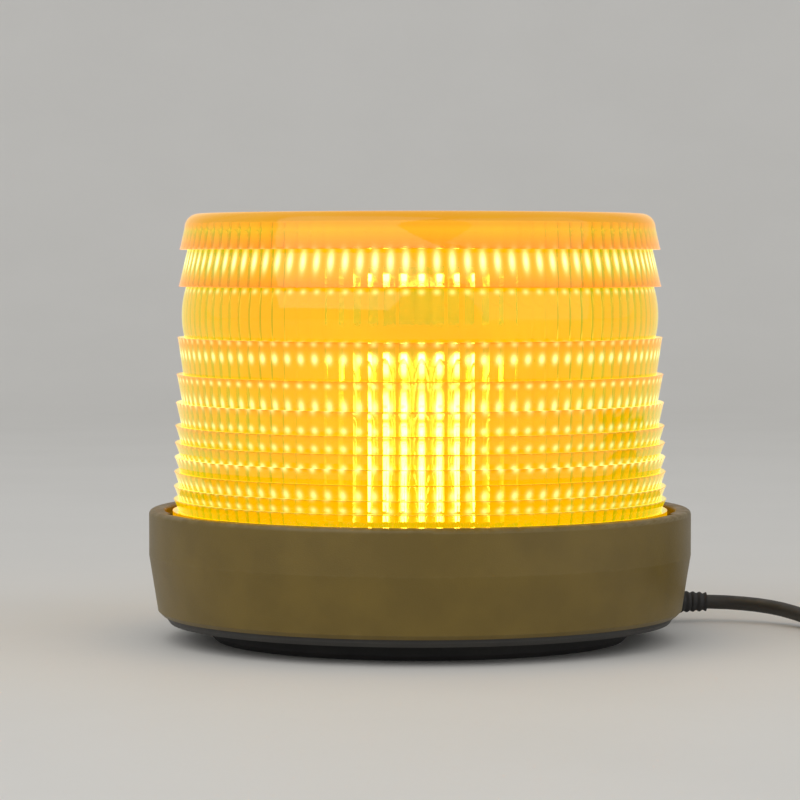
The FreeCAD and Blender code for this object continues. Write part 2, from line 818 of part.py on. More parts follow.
def lamp_post():
    groove_bottom = HUB_TOP + " + clip_clearance"
    groove_top = groove_bottom + " + clip_thickness"
    tube = revolved("PostTube", [
        (POST_BORE, DECK_UNDERSIDE),
        ("post_radius", DECK_UNDERSIDE),
        ("post_radius", "rim_height"),
        ("post_flange_radius", "rim_height"),
        ("post_flange_radius", FLANGE_TOP),
        ("post_radius", FLANGE_TOP),
        ("post_radius", groove_bottom),
        ("post_radius - clip_groove", groove_bottom),
        ("post_radius - clip_groove", groove_top),
        ("post_radius", groove_top),
        ("post_radius", "post_height"),
        (POST_BORE, "post_height"),
    ])
    holes = []
    screws = []
    for place, (x, y) in enumerate(post_screw_spots()):
        holes.append(cylinder(f"PostHole{place}", "post_screw_radius",
                              "post_flange_thickness + 2 * bore_margin",
                              "rim_height - bore_margin", x, y))
        holes.append(countersink(
            f"PostSink{place}", x, y, "post_screw_radius", "post_screw_head",
            FLANGE_TOP + " - (post_screw_head - post_screw_radius)",
            "post_screw_head - post_screw_radius", False,
        ))
        screws.append(countersunk(
            f"PostScrew{place}", x, y, FLANGE_TOP, "post_screw_radius", "post_screw_head",
            "post_flange_thickness + deck_thickness + post_screw_end", False,
        ))
    keep(cut("LampPost", tube, holes), "lamp_post")
    keep(grouped("PostScrews", screws), "post_screws")
    keep(revolved("ThrustWasher", ring_corners(
        HUB_BORE, "post_radius + hub_wall", FLANGE_TOP, HUB_BOTTOM,
    )), "thrust_washer")
    clip = revolved("ClipRing", ring_corners(
        "post_radius - clip_groove", "clip_radius", groove_bottom, groove_top,
    ))
    gap = document.addObject("Part::Box", "ClipGap")
    gap.setExpression("Length", bound("clip_radius + bore_margin"))
    gap.setExpression("Width", bound("post_radius"))
    gap.setExpression("Height", bound("clip_thickness + 2 * bore_margin"))
    drive(gap, Placement_at_y="-post_radius / 2",
          Placement_at_z=groove_bottom + " - bore_margin")
    keep(cut("RetainingClip", clip, [gap]), "retaining_clip")


def involute(angle):
    return math.tan(angle) - angle


def toothed_column(teeth, phase, bottom, top):
    """A solid gear with involute flanks; one tooth points along the phase angle."""
    module = size("gear_module")
    pressure = math.radians(size("pressure_angle"))
    pitch = teeth * module / 2
    base = pitch * math.cos(pressure)
    tip_at = pitch + size("tooth_addendum") * module
    root_at = pitch - size("tooth_dedendum") * module
    half_at_pitch = math.pi / (2 * teeth) - size("tooth_backlash") / (2 * pitch)

    def half_angle(radius):
        reached = max(radius, base)
        return math.degrees(half_at_pitch + involute(pressure)
                            - involute(math.acos(base / reached)))

    edges = []
    step = 360.0 / teeth
    for place in range(teeth):
        middle = phase + place * step
        foot_half = half_angle(root_at)
        right = [turned(middle - half_angle(r), r) for r in (root_at, pitch, tip_at)]
        left = [turned(middle + half_angle(r), r) for r in (tip_at, pitch, root_at)]
        edges.append(Part.Arc(*right).toShape())
        edges.append(Part.Arc(right[2], turned(middle, tip_at), left[0]).toShape())
        edges.append(Part.Arc(*left).toShape())
        following = turned(middle + step - foot_half, root_at)
        edges.append(Part.Arc(left[2], turned(middle + step / 2, root_at), following).toShape())
    face = Part.Face(Part.Wire(edges))
    face.translate(FreeCAD.Vector(0, 0, bottom))
    return face.extrude(FreeCAD.Vector(0, 0, top - bottom))


def ring_gear():
    gear_top = size("gear_bottom + gear_width")
    teeth = int(size("gear_teeth"))
    column = solid("GearTeeth", toothed_column(
        teeth, size("motor_angle"), size("gear_bottom"), gear_top))
    pitch = "gear_teeth * gear_module / 2"
    rim_inner = f"{pitch} - tooth_dedendum * gear_module - rim_wall"
    hollow = revolved("GearHollow", ring_corners(
        "post_radius + hub_wall", rim_inner, "gear_bottom + web_thickness",
        "gear_bottom + gear_width + bore_margin",
    ))
    hub = revolved("GearHub", ring_corners(HUB_BORE, "post_radius + hub_wall",
                                           HUB_BOTTOM, HUB_TOP))
    bore = cylinder("GearBore", HUB_BORE, "gear_width + 2 * bore_margin",
                    "gear_bottom - bore_margin")
    holes = [hollow, bore]
    hole_circle = f"({rim_inner} + post_radius + hub_wall) / 2"
    for place, angle in enumerate(round_the_axis(size("gear_hole_count"))):
        holes.append(cylinder(f"GearHole{place}", "gear_hole_radius",
                              "gear_width + 2 * bore_margin", "gear_bottom - bore_margin",
                              *at_angle(hole_circle, angle)))
    keep(fused("RingGear", [cut("GearWheel", column, holes), hub]), "ring_gear")


def drive_motor():
    x, y = motor_spot()
    boss_top = DECK_UNDERSIDE + " + motor_boss_height"
    can = revolved("MotorShell", [
        ("0", MOTOR_BOTTOM + " + motor_cap_height"),
        ("motor_radius", MOTOR_BOTTOM + " + motor_cap_height"),
        ("motor_radius", DECK_UNDERSIDE),
        ("motor_boss_radius", DECK_UNDERSIDE),
        ("motor_boss_radius", boss_top),
        ("0", boss_top),
    ])
    bore = cylinder("MotorBore", "shaft_radius + running_fit", "motor_bore_depth + bore_margin",
                    boss_top + " - motor_bore_depth")
    drilled = cut("MotorCan", can, [bore])
    drive(drilled, Placement_at_x=x, Placement_at_y=y)
    keep(drilled, "motor_can")
    cap = revolved("MotorEndCap", [
        ("0", MOTOR_BOTTOM),
        ("motor_radius - 1.5 * motor_cap_chamfer", MOTOR_BOTTOM),
        ("motor_radius", MOTOR_BOTTOM + " + motor_cap_chamfer"),
        ("motor_radius", MOTOR_BOTTOM + " + motor_cap_height"),
        ("0", MOTOR_BOTTOM + " + motor_cap_height"),
    ])
    drive(cap, Placement_at_x=x, Placement_at_y=y)
    keep(cap, "motor_end_cap")
    shaft = revolved("MotorShaft", ring_corners(
        "0", "shaft_radius", boss_top + " - shaft_depth", "gear_bottom + gear_width + shaft_end"))
    drive(shaft, Placement_at_x=x, Placement_at_y=y)
    keep(shaft, "motor_shaft")
    phase = size("motor_angle") + 180 + 180 / size("pinion_teeth")
    middle = size("gear_bottom + gear_width / 2")
    half = size("pinion_width / 2")
    teeth = solid("PinionTeeth", toothed_column(
        int(size("pinion_teeth")), phase, middle - half, middle + half))
    hole = cylinder("PinionBore", "shaft_radius", "pinion_width + 2 * bore_margin",
                    "gear_bottom + (gear_width - pinion_width) / 2 - bore_margin")
    pinion = cut("Pinion", teeth, [hole])
    drive(pinion, Placement_at_x=x, Placement_at_y=y)
    keep(pinion, "pinion")
    tabs = []
    screws = []
    for side in (-1, 1):
        tab = document.addObject("Part::Box", f"MotorTab{side + 1}")
        tab.setExpression("Length", bound("terminal_tab_thickness"))
        tab.setExpression("Width", bound("terminal_tab_width"))
        tab.setExpression("Height", bound("terminal_tab_length"))
        across = f"{side} * terminal_tab_spacing / 2 - terminal_tab_thickness / 2"
        drive(tab, Placement_at_x=f"{x} + {across}", Placement_at_y=f"{y} - terminal_tab_width / 2",
              Placement_at_z=MOTOR_BOTTOM + " - terminal_tab_length")
        tabs.append(tab)
        screw = pan_screw(f"MotorScrew{side + 1}", "motor_screw_radius", "deck_thickness")
        screw_x, screw_y = motor_screw_spot(side)
        drive(screw, Placement_at_x=screw_x, Placement_at_y=screw_y, Placement_at_z="rim_height")
        screws.append(screw)
    keep(grouped("MotorTerminals", tabs), "motor_terminals")
    keep(grouped("MotorScrews", screws), "motor_screws")


def pan_screw(name, radius, length):
    """A pan-headed screw whose head stands on the height 0, with its shank below."""
    return revolved(name, [
        ("0", f"-({length})"),
        (radius, f"-({length})"),
        (radius, "0"),
        ("pan_head_radius", "0"),
        ("pan_head_top", "pan_head_height"),
        ("0", "pan_head_height"),
    ])


def parabola(reach, focal, back):
    """Half of a parabola through its vertex, as one Bezier curve."""
    curve = Part.BezierCurve()
    depth = reach * reach / (4 * focal)
    curve.setPoles([
        FreeCAD.Vector(0, focal + back, 0),
        FreeCAD.Vector(reach / 2, focal + back, 0),
        FreeCAD.Vector(reach, focal + back - depth, 0),
    ])
    return curve.toShape()


def reflector():
    focal = size("focal_length")
    wall = size("dish_thickness")
    low = size("dish_below_lamp")
    half = size("dish_half_width")
    high = size("dish_above_lamp")
    reach = math.hypot(half, max(low, high)) + wall
    inner = parabola(reach, focal, 0)
    outer = parabola(reach, focal, wall)
    rim = Part.LineSegment(inner.Vertexes[1].Point, outer.Vertexes[1].Point).toShape()
    axis = Part.LineSegment(outer.Vertexes[0].Point, inner.Vertexes[0].Point).toShape()
    face = Part.Face(Part.Wire(Part.__sortEdges__([inner, rim, outer, axis])))
    dish = face.revolve(FreeCAD.Vector(), FreeCAD.Vector(0, 1, 0), 360)
    window = Part.makeBox(2 * half, 4 * reach, low + high,
                          FreeCAD.Vector(-half, -2 * reach, -low))
    boss = Part.makeCylinder(
        size("dish_boss_radius"), wall + size("dish_boss_height"),
        FreeCAD.Vector(0, focal + wall / 2, 0), FreeCAD.Vector(0, 1, 0),
    )
    trimmed = dish.common(window).fuse(boss)
    place = FreeCAD.Placement(FreeCAD.Vector(0, 0, size(LAMP_HEIGHT)), FreeCAD.Rotation())
    keep(solid("Reflector", trimmed, place), "reflector")


def reflector_bracket():
    back = "focal_length + 1.5 * dish_thickness + dish_boss_height"
    foot_bottom = "gear_bottom + web_thickness"
    screw_y = back + " + bracket_foot - bracket_screw_inset"
    stem = document.addObject("Part::Box", "BracketStem")
    stem.setExpression("Length", bound("bracket_width"))
    stem.setExpression("Width", bound("bracket_thickness"))
    stem.setExpression("Height", bound(f"{LAMP_HEIGHT} + dish_boss_radius - ({foot_bottom})"))
    drive(stem, Placement_at_x="-bracket_width / 2", Placement_at_y=back,
          Placement_at_z=foot_bottom)
    foot = document.addObject("Part::Box", "BracketFoot")
    foot.setExpression("Length", bound("bracket_width"))
    foot.setExpression("Width", bound("bracket_foot"))
    foot.setExpression("Height", bound("bracket_thickness"))
    drive(foot, Placement_at_x="-bracket_width / 2", Placement_at_y=back,
          Placement_at_z=foot_bottom)
    keep(fused("ReflectorBracket", [stem, foot]), "reflector_bracket")
    upper = headed_disc("BracketScrewUpper")
    upper.Placement = FreeCAD.Placement(
        FreeCAD.Vector(0, size(back + " + bracket_thickness"), size(LAMP_HEIGHT)),
        FreeCAD.Rotation(FreeCAD.Vector(1, 0, 0), -90),
    )
    lower = headed_disc("BracketScrewLower")
    drive(lower, Placement_at_y=screw_y, Placement_at_z=foot_bottom + " + bracket_thickness")
    keep(grouped("BracketScrews", [upper, lower]), "bracket_screws")


def headed_disc(name):
    """The pan head of a screw whose shank is hidden in what it holds."""
    return revolved(name, [
        ("0", "0"),
        ("pan_head_radius", "0"),
        ("pan_head_top", "pan_head_height"),
        ("0", "pan_head_height"),
    ])


def coiled_spring(name, radius, bottom, top):
    """A compression spring standing between two heights."""
    wire = size("spring_wire")
    low = size(bottom) + wire
    rise = size(top) - wire - low
    helix = Part.makeHelix(rise / size("spring_turns"), rise, radius)
    section = Part.makePolygon([
        FreeCAD.Vector(radius + across, 0, up)
        for across, up in ((-wire, -wire), (wire, -wire), (wire, wire), (-wire, wire), (-wire, -wire))
    ])
    coil = Part.Wire(helix.Edges).makePipeShell([section], True, True)
    return solid(name, coil, FreeCAD.Placement(FreeCAD.Vector(0, 0, low), FreeCAD.Rotation()))


def lamp_socket():
    shell = revolved("SocketTube", ring_corners(
        "cap_radius + cap_fit", POST_BORE, SOCKET_BOTTOM, SOCKET_TOP))
    slot_bottom = PIN_HEIGHT + " - pin_radius"
    slot = document.addObject("Part::Box", "SocketSlot")
    slot.setExpression("Length", bound("2 * (pin_radius + cap_fit)"))
    slot.setExpression("Width", bound("4 * cap_radius"))
    slot.setExpression("Height", bound(f"{SOCKET_TOP} + bore_margin - ({slot_bottom})"))
    drive(slot, Placement_at_x="-pin_radius - cap_fit", Placement_at_y="-2 * cap_radius",
          Placement_at_z=slot_bottom)
    keep(cut("SocketShell", shell, [slot]), "socket_shell")
    insulator_bottom = SOCKET_BOTTOM + " + insulator_rise"
    insulator_top = insulator_bottom + " + insulator_height"
    keep(revolved("SocketInsulator", ring_corners(
        "contact_stem_radius", "cap_radius + cap_fit", insulator_bottom, insulator_top,
    )), "socket_insulator")
    contact_top = CAP_BOTTOM + " - cap_round"
    head_bottom = contact_top + " - contact_head_height"
    keep(revolved("SocketContact", [
        ("0", SOCKET_BOTTOM + " - contact_end"),
        ("contact_stem_radius", SOCKET_BOTTOM + " - contact_end"),
        ("contact_stem_radius", head_bottom),
        ("contact_radius", head_bottom),
        ("contact_radius", contact_top),
        ("0", contact_top),
    ]), "socket_contact")
    keep(coiled_spring("ContactSpring", size("contact_radius - spring_wire"),
                       insulator_top, head_bottom), "contact_spring")


def bulb():
    shell = revolved("CapTube", [
        ("0", CAP_BOTTOM + " - cap_round"),
        ("cap_contact_tip", CAP_BOTTOM + " - cap_round"),
        ("cap_contact_radius", CAP_BOTTOM),
        ("cap_radius - cap_round", CAP_BOTTOM),
        ("cap_radius", CAP_BOTTOM + " + cap_round"),
        ("cap_radius", CAP_TOP),
        ("0", CAP_TOP),
    ])
    pins = document.addObject("Part::Cylinder", "CapPins")
    pins.setExpression("Radius", bound("pin_radius"))
    pins.setExpression("Height", bound("2 * (cap_radius + pin_length)"))
    pins.Placement = FreeCAD.Placement(
        FreeCAD.Vector(0, size("cap_radius + pin_length"), size(PIN_HEIGHT)),
        FreeCAD.Rotation(FreeCAD.Vector(1, 0, 0), 90),
    )
    keep(fused("BulbCap", [shell, pins]), "bulb_cap")
    inner = "bulb_radius - bulb_wall"
    neck_top = CAP_TOP + " + bulb_neck_height"
    cheek = LAMP_HEIGHT + " - bulb_radius / 2"

    def crown(radius):
        return f"{LAMP_HEIGHT} + sqrt(({radius}) ^ 2 - bulb_crown ^ 2)"

    keep(revolved("BulbGlass", [
        ("bulb_neck_radius", CAP_TOP),
        ("bulb_neck_radius", neck_top),
        ("bulb_radius", cheek),
        ("bulb_radius", LAMP_HEIGHT, "bulb_radius"),
        ("bulb_crown", crown("bulb_radius")),
        ("0", crown("bulb_radius")),
        ("0", crown(inner)),
        ("bulb_crown", crown(inner), f"-({inner})"),
        (inner, LAMP_HEIGHT),
        (inner, cheek),
        ("bulb_neck_radius - bulb_wall", neck_top),
        ("bulb_neck_radius - bulb_wall", CAP_TOP),
    ]), "bulb_glass")
    stem_top = CAP_TOP + " + stem_height"
    keep(revolved("BulbStem", [
        ("0", CAP_TOP),
        ("bulb_neck_radius - bulb_wall", CAP_TOP),
        ("stem_radius", neck_top),
        ("stem_top_radius", stem_top),
        ("0", stem_top),
    ]), "bulb_stem")
    wire_bottom = stem_top + " - bulb_neck_height"
    pieces = [
        cylinder(f"SupportWire{side + 1}", "wire_radius", f"{LAMP_HEIGHT} - ({wire_bottom})",
                 wire_bottom, f"{side} * wire_spacing / 2")
        for side in (-1, 1)
    ]
    coil = document.addObject("Part::Cylinder", "FilamentCoil")
    coil.setExpression("Radius", bound("filament_radius"))
    coil.setExpression("Height", bound("filament_length"))
    coil.Placement = FreeCAD.Placement(
        FreeCAD.Vector(-size("filament_length") / 2, 0, size(LAMP_HEIGHT)),
        FreeCAD.Rotation(FreeCAD.Vector(0, 1, 0), 90),
    )
    keep(fused("BulbFilament", pieces + [coil]), "bulb_filament")


def cord_wire(points):
    """Straight runs joined by tangent arcs, each as large as its two runs allow."""
    spots = [FreeCAD.Vector(*point) for point in points]
    edges = []
    start = spots[0]
    for before, here, after in zip(spots, spots[1:], spots[2:]):
        back = (before - here)
        on = (after - here)
        shorter = min(back.Length, on.Length)
        half_turn = (math.pi - back.getAngle(on)) / 2
        reach = 0.45 * shorter
        radius = reach / math.tan(half_turn)
        print(f"cord bend at {tuple(round(v, 1) for v in here)}: radius {radius:.1f}")
        enter = here + back.normalize() * reach
        leave = here + on.normalize() * reach
        inward = (back + on).normalize()
        centre = here + inward * (radius / math.cos(half_turn))
        middle = centre - inward * radius
        edges.append(Part.LineSegment(start, enter).toShape())
        edges.append(Part.Arc(enter, middle, leave).toShape())
        start = leave
    edges.append(Part.LineSegment(start, spots[-1]).toShape())
    return Part.Wire(edges)


def cord_tube(points, radius):
    wire = cord_wire(points)
    start = FreeCAD.Vector(*points[0])
    along = FreeCAD.Vector(*points[1]) - start
    circle = Part.Wire(Part.makeCircle(radius, start, along))
    tube = wire.makePipeShell([circle], True, False)
    expected = math.pi * radius * radius * wire.Length
    if abs(tube.Volume / expected - 1) > 0.01:
        raise ValueError("a cord's volume differs from its section times its length")
    print(f"cord length {wire.Length:.1f}")
    return tube


def terminal_spot(along, across, height):
    """A point so far out along the terminal block's radius, aside of it and up."""
    outward = turned(size("terminal_angle"), 1)
    aside = FreeCAD.Vector(-outward.y, outward.x, 0)
    return outward * along + aside * across + FreeCAD.Vector(0, 0, height)


def wiring():
    block = document.addObject("Part::Box", "TerminalBody")
    block.setExpression("Length", bound("terminal_width"))
    block.setExpression("Width", bound("terminal_length"))
    block.setExpression("Height", bound("terminal_height"))
    half = size("terminal_width / 2")
    middle = size(TERMINAL_BOTTOM + " + terminal_entry_height")
    spacing = size("terminal_pole_spacing")
    circle = size(COLLAR_RADIUS + " - base_wall - terminal_inset")
    lead = size("lead_radius")
    margin = size("bore_margin")
    block.Placement = FreeCAD.Placement(
        terminal_spot(circle - half, -size("terminal_length") / 2, size(TERMINAL_BOTTOM)),
        about_axis(size("terminal_angle")).Rotation,
    )
    hollows = []
    screws = []
    for pole in (-1, 0, 1):
        bore = cylinder(f"TerminalBore{pole + 1}", "lead_radius",
                        "terminal_width + 2 * bore_margin")
        bore.Placement = FreeCAD.Placement(
            terminal_spot(circle - half - margin, pole * spacing, middle),
            FreeCAD.Rotation(FreeCAD.Vector(0, 0, 1), terminal_spot(1, 0, 0)),
        )
        spot = terminal_spot(circle, pole * spacing, 0)
        screws.append(cylinder(f"TerminalScrew{pole + 1}", "terminal_screw_radius",
                               "terminal_screw_depth", TERMINAL_BOTTOM, spot.x, spot.y))
        hollows.append(bore)
        hollows.append(cylinder(f"TerminalHole{pole + 1}", "terminal_screw_radius",
                                "terminal_screw_depth", TERMINAL_BOTTOM, spot.x, spot.y))
    keep(cut("TerminalBlock", block, hollows), "terminal_block")
    keep(grouped("TerminalScrews", screws), "terminal_screws")
    grip = size("lead_grip")
    exit_angle = size("cord_exit_angle")
    cores = []
    for side in (-1, 1):
        aside = turned(exit_angle + 90, side * size("core_spacing") / 2)
        cores.append(solid(f"Core{side + 1}", cord_tube([
            sheath_end() + aside - turned(exit_angle, size("core_gap")),
            turned(exit_angle - size("core_bend_angle"), size("base_radius - core_bend_inset"),
                   size("core_bend_height")) + aside * 2,
            terminal_spot(circle + size("core_run"), side * spacing, middle),
            terminal_spot(circle + grip, side * spacing, middle),
        ], lead)))
    keep(grouped("SupplyCores", cores), "supply_cores")
    x, y = motor_spot()
    tabs = FreeCAD.Vector(size(x), size(y), size(MOTOR_BOTTOM + " - terminal_tab_length / 2"))
    wires = []
    for side in (-1, 1):
        across = (side + 1) / 2 * spacing
        aside = FreeCAD.Vector(0, across, 0)
        on_tab = size("(terminal_tab_thickness + 2 * lead_radius) / 2")
        wires.append(solid(f"MotorWire{side + 1}", cord_tube([
            terminal_spot(circle - grip, across, middle),
            terminal_spot(circle - size("motor_lead_run"), across, middle),
            tabs + FreeCAD.Vector(*MOTOR_LEAD_RISE) + aside + FreeCAD.Vector(across, 0, 0),
            tabs + FreeCAD.Vector(*MOTOR_LEAD_DIP) + aside,
            tabs + FreeCAD.Vector(side * size("terminal_tab_spacing") / 2 + on_tab, 0, 0),
        ], lead)))
    keep(grouped("MotorLeads", wires), "motor_leads")
    keep(solid("LampLead", cord_tube([
        terminal_spot(circle - grip, -spacing, middle),
        terminal_spot(circle - size("lamp_lead_run"), -spacing, middle),
        FreeCAD.Vector(size("lamp_lead_turn"), 0, size(SOCKET_BOTTOM + " - lamp_lead_dip")),
        FreeCAD.Vector(0, 0, size(SOCKET_BOTTOM + " - contact_end - lead_radius")),
    ], lead)), "lamp_lead")


def sheath_end():
    """Where the cord's sheath is stripped off its cores, inside the base."""
    return turned(size("cord_exit_angle"), size(HEM_RADIUS + " - base_wall - sheath_reach"),
                  size("cord_exit_height"))


MOTOR_LEAD_RISE = (35.7, 1.3, 8.6)
MOTOR_LEAD_DIP = (17.7, 6.3, 0.4)
SUPPLY_BENDS = [
    (108.0, 40.5, 5.6),
    (120.7, 18.1, 3.0),
    (126.9, 1.2, 2.3),
]
COIL_MIDDLE = (162.0, 14.0)
PLUG_ROUTE = [
    (180.7, -18.4, 6.6),
    (194.6, -10.4, 6.4),
    (207.0, 2.0, 4.0),
    (211.4, 17.6, 7.6),
    (210.0, 32.5, 12.0),
    (210.0, 46.5, 12.0),
]


def cord():
    radius = size("cord_radius")
    straight = turned(size("cord_exit_angle"), size("cord_straight"))
    supply = [sheath_end(), sheath_end() + straight] + SUPPLY_BENDS
    keep(solid("SupplyCord", cord_tube(supply, radius)), "supply_cord")
    keep(solid("PlugCord", cord_tube(PLUG_ROUTE, radius)), "plug_cord")
    half = "coil_turns_across * cord_radius"
    coil = revolved("CordCoil", ring_corners(
        f"coil_radius - {half}", f"coil_radius + {half}", "0",
        "coil_layers * 2 * cord_radius",
    ))
    coil.Placement.Base = FreeCAD.Vector(*COIL_MIDDLE, 0)
    keep(coil, "cord_coil")
    neck_end = "gland_flange_thickness + base_wall + hem_chamfer + 2 * lug_clearance"
    outer_end = neck_end + " + gland_flange_thickness"
    gland = revolved("CordGland", [
        ("cord_radius", "0"),
        ("gland_flange", "0"),
        ("gland_flange", "gland_flange_thickness"),
        ("gland_neck", "gland_flange_thickness"),
        ("gland_neck", neck_end),
        ("gland_flange", neck_end),
        ("gland_flange", outer_end),
        ("cord_radius + gland_tail_wall", outer_end + " + gland_tail"),
        ("cord_radius", outer_end + " + gland_tail"),
    ])
    inside = HEM_RADIUS + " - base_wall - hem_chamfer - gland_flange_thickness - lug_clearance"
    gland.Placement = radial(size("cord_exit_angle"), size(inside), size("cord_exit_height"))
    keep(gland, "cord_gland")


def plug():
    spot = FreeCAD.Vector(*PLUG_ROUTE[-1])
    along = FreeCAD.Placement(spot, FreeCAD.Rotation(FreeCAD.Vector(1, 0, 0), -90))
    shell = revolved("PlugShell", [
        ("0", "0"),
        ("cord_radius + plug_sleeve_wall", "0"),
        ("cord_radius + plug_sleeve_flare", "plug_sleeve_length"),
        ("plug_radius - plug_shoulder_step", "plug_shoulder_start"),
        ("plug_radius", "plug_shoulder_end"),
        ("plug_radius", "plug_shell_length - plug_front_chamfer"),
        ("plug_nose_radius + plug_front_margin", "plug_shell_length"),
        ("0", "plug_shell_length"),
    ])
    shell.Placement = along
    keep(shell, "plug_shell")
    reach = "plug_shell_length + plug_nose_length"
    bore = "plug_tip_radius + plug_front_margin"
    nose = revolved("PlugNose", [
        ("0", "plug_shell_length"),
        ("plug_nose_radius", "plug_shell_length"),
        ("plug_nose_radius", reach),
        ("plug_tip_radius + plug_nose_lip", reach + " + plug_nose_cone"),
        (bore, reach + " + plug_nose_cone"),
        (bore, reach + " - plug_nose_cone"),
        ("0", reach + " - plug_nose_cone"),
    ])
    nose.Placement = along
    keep(nose, "plug_nose")
    leaves = []
    width = size("plug_leaf_width")
    skin = FreeCAD.Vector(size("plug_leaf_thickness"), 0, 0)
    for side in (-1, 1):
        start = FreeCAD.Vector(size("plug_nose_radius"), 0,
                               size("plug_shell_length + plug_leaf_start"))
        end = start + FreeCAD.Vector(0, 0, size("plug_leaf_length"))
        crest = (start + end) * 0.5 + FreeCAD.Vector(size("plug_leaf_rise"), 0, 0)
        outer = Part.Arc(start + skin, crest + skin, end + skin).toShape()
        inner = Part.Arc(start, crest, end).toShape()
        low = Part.LineSegment(start, start + skin).toShape()
        high = Part.LineSegment(end, end + skin).toShape()
        face = Part.Face(Part.Wire(Part.__sortEdges__([outer, high, inner, low])))
        face.translate(FreeCAD.Vector(0, -width / 2, 0))
        leaf = face.extrude(FreeCAD.Vector(0, width, 0))
        leaf.rotate(FreeCAD.Vector(), FreeCAD.Vector(0, 0, 1), 90 - side * 90)
        leaves.append(solid(f"PlugLeaf{side + 1}", leaf, along))
    keep(grouped("PlugSideContacts", leaves), "plug_side_contacts")
    tip_start = reach + " - plug_nose_cone + plug_tip_travel + plug_front_margin"
    tip_end = reach + " + plug_nose_cone + plug_tip_travel + plug_tip_stand"
    pin = revolved("PlugTip", [
        ("0", tip_start),
        ("plug_tip_radius", tip_start),
        ("plug_tip_radius", tip_end + " - plug_tip_radius", "plug_tip_radius"),
        ("0", tip_end),
    ])
    pin.Placement = along
    keep(pin, "plug_tip")


def write_parts():
    document.recompute()
    for item in document.Objects:
        if "Invalid" in item.State or "Error" in item.State:
            raise ValueError(f"{item.Name} failed: {item.State}")
    os.makedirs("parts", exist_ok=True)
    for item in parts:
        shape = item.Shape
        if shape.isNull() or not shape.isValid():
            raise ValueError(f"{item.Label} has no valid shape")
        shape.exportStep(f"parts/{item.Label}.step")


base_housing()
bottom_cover()
cover_screws()
magnet_foot()
lens()
lens_gasket()
lamp_post()
ring_gear()
drive_motor()
reflector()
reflector_bracket()
lamp_socket()
bulb()
wiring()
cord()
plug()
write_parts()
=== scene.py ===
import math
from collections import namedtuple

import bmesh
import bpy
from mathutils import Matrix, Vector


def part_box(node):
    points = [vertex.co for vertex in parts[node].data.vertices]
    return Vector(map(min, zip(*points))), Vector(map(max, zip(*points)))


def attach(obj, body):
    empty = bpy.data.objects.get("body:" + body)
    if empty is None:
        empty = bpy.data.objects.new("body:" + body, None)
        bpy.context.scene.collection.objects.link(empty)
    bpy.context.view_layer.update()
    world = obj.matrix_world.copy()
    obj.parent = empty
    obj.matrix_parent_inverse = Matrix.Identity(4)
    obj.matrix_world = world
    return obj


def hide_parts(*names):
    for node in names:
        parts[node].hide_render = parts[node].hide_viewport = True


# Rotating beacon: an amber prism lens over a lamp and its turning reflector, a black bowl-shaped
# base on a magnetic foot, and a supply lead with its plug. Metres, +Z up, front towards -Y.

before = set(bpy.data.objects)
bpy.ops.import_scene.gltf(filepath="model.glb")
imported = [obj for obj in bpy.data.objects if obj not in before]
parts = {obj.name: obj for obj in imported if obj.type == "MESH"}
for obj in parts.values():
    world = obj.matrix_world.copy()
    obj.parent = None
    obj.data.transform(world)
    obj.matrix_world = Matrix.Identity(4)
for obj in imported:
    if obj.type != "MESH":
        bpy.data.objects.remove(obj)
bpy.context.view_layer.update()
scene = bpy.context.scene
MM = 0.001


# Camera

CAMERA_PLACE = (-0.0059, -1.0, 0.1114)
CAMERA_TILT = 87.66
CAMERA_LENS = 151.9


def make_camera():
    """A long lens, level with the beacon and looking a little down at it."""
    data = bpy.data.cameras.new("product_camera")
    data.lens = CAMERA_LENS
    data.sensor_width = 36
    data.clip_end = 50
    camera = bpy.data.objects.new("product_camera", data)
    camera.location = CAMERA_PLACE
    camera.rotation_euler = (math.radians(CAMERA_TILT), 0, 0)
    scene.collection.objects.link(camera)
    scene.camera = camera


make_camera()


# Supply lead, in millimetres along the same route as its tube

CORD_RADIUS = 2.2
SUPPLY_ROUTE = [
    (61.9, 35.75, 6.2),
    (83.1, 47.9, 6.2),
    (108.0, 40.5, 5.6),
    (120.7, 18.1, 3.0),
]
PLUG_ROUTE = [
    (194.6, -10.4, 6.4),
    (207.0, 2.0, 4.0),
    (211.4, 17.6, 7.6),
    (210.0, 32.5, 12.0),
    (210.0, 46.5, 12.0),
]
COIL_MIDDLE = (162.0, 14.0)
COIL_RADIUS = 26.4
COIL_ACROSS = 6
# Where the coil starts and ends and where its turns shift, in degrees
COIL_IN = -160
COIL_OUT = -60
COIL_STEP = 20
SHIFT_SPAN = 40
SHIFT_OUT = 60
SHIFT_UP = 100
SHIFT_IN = 140


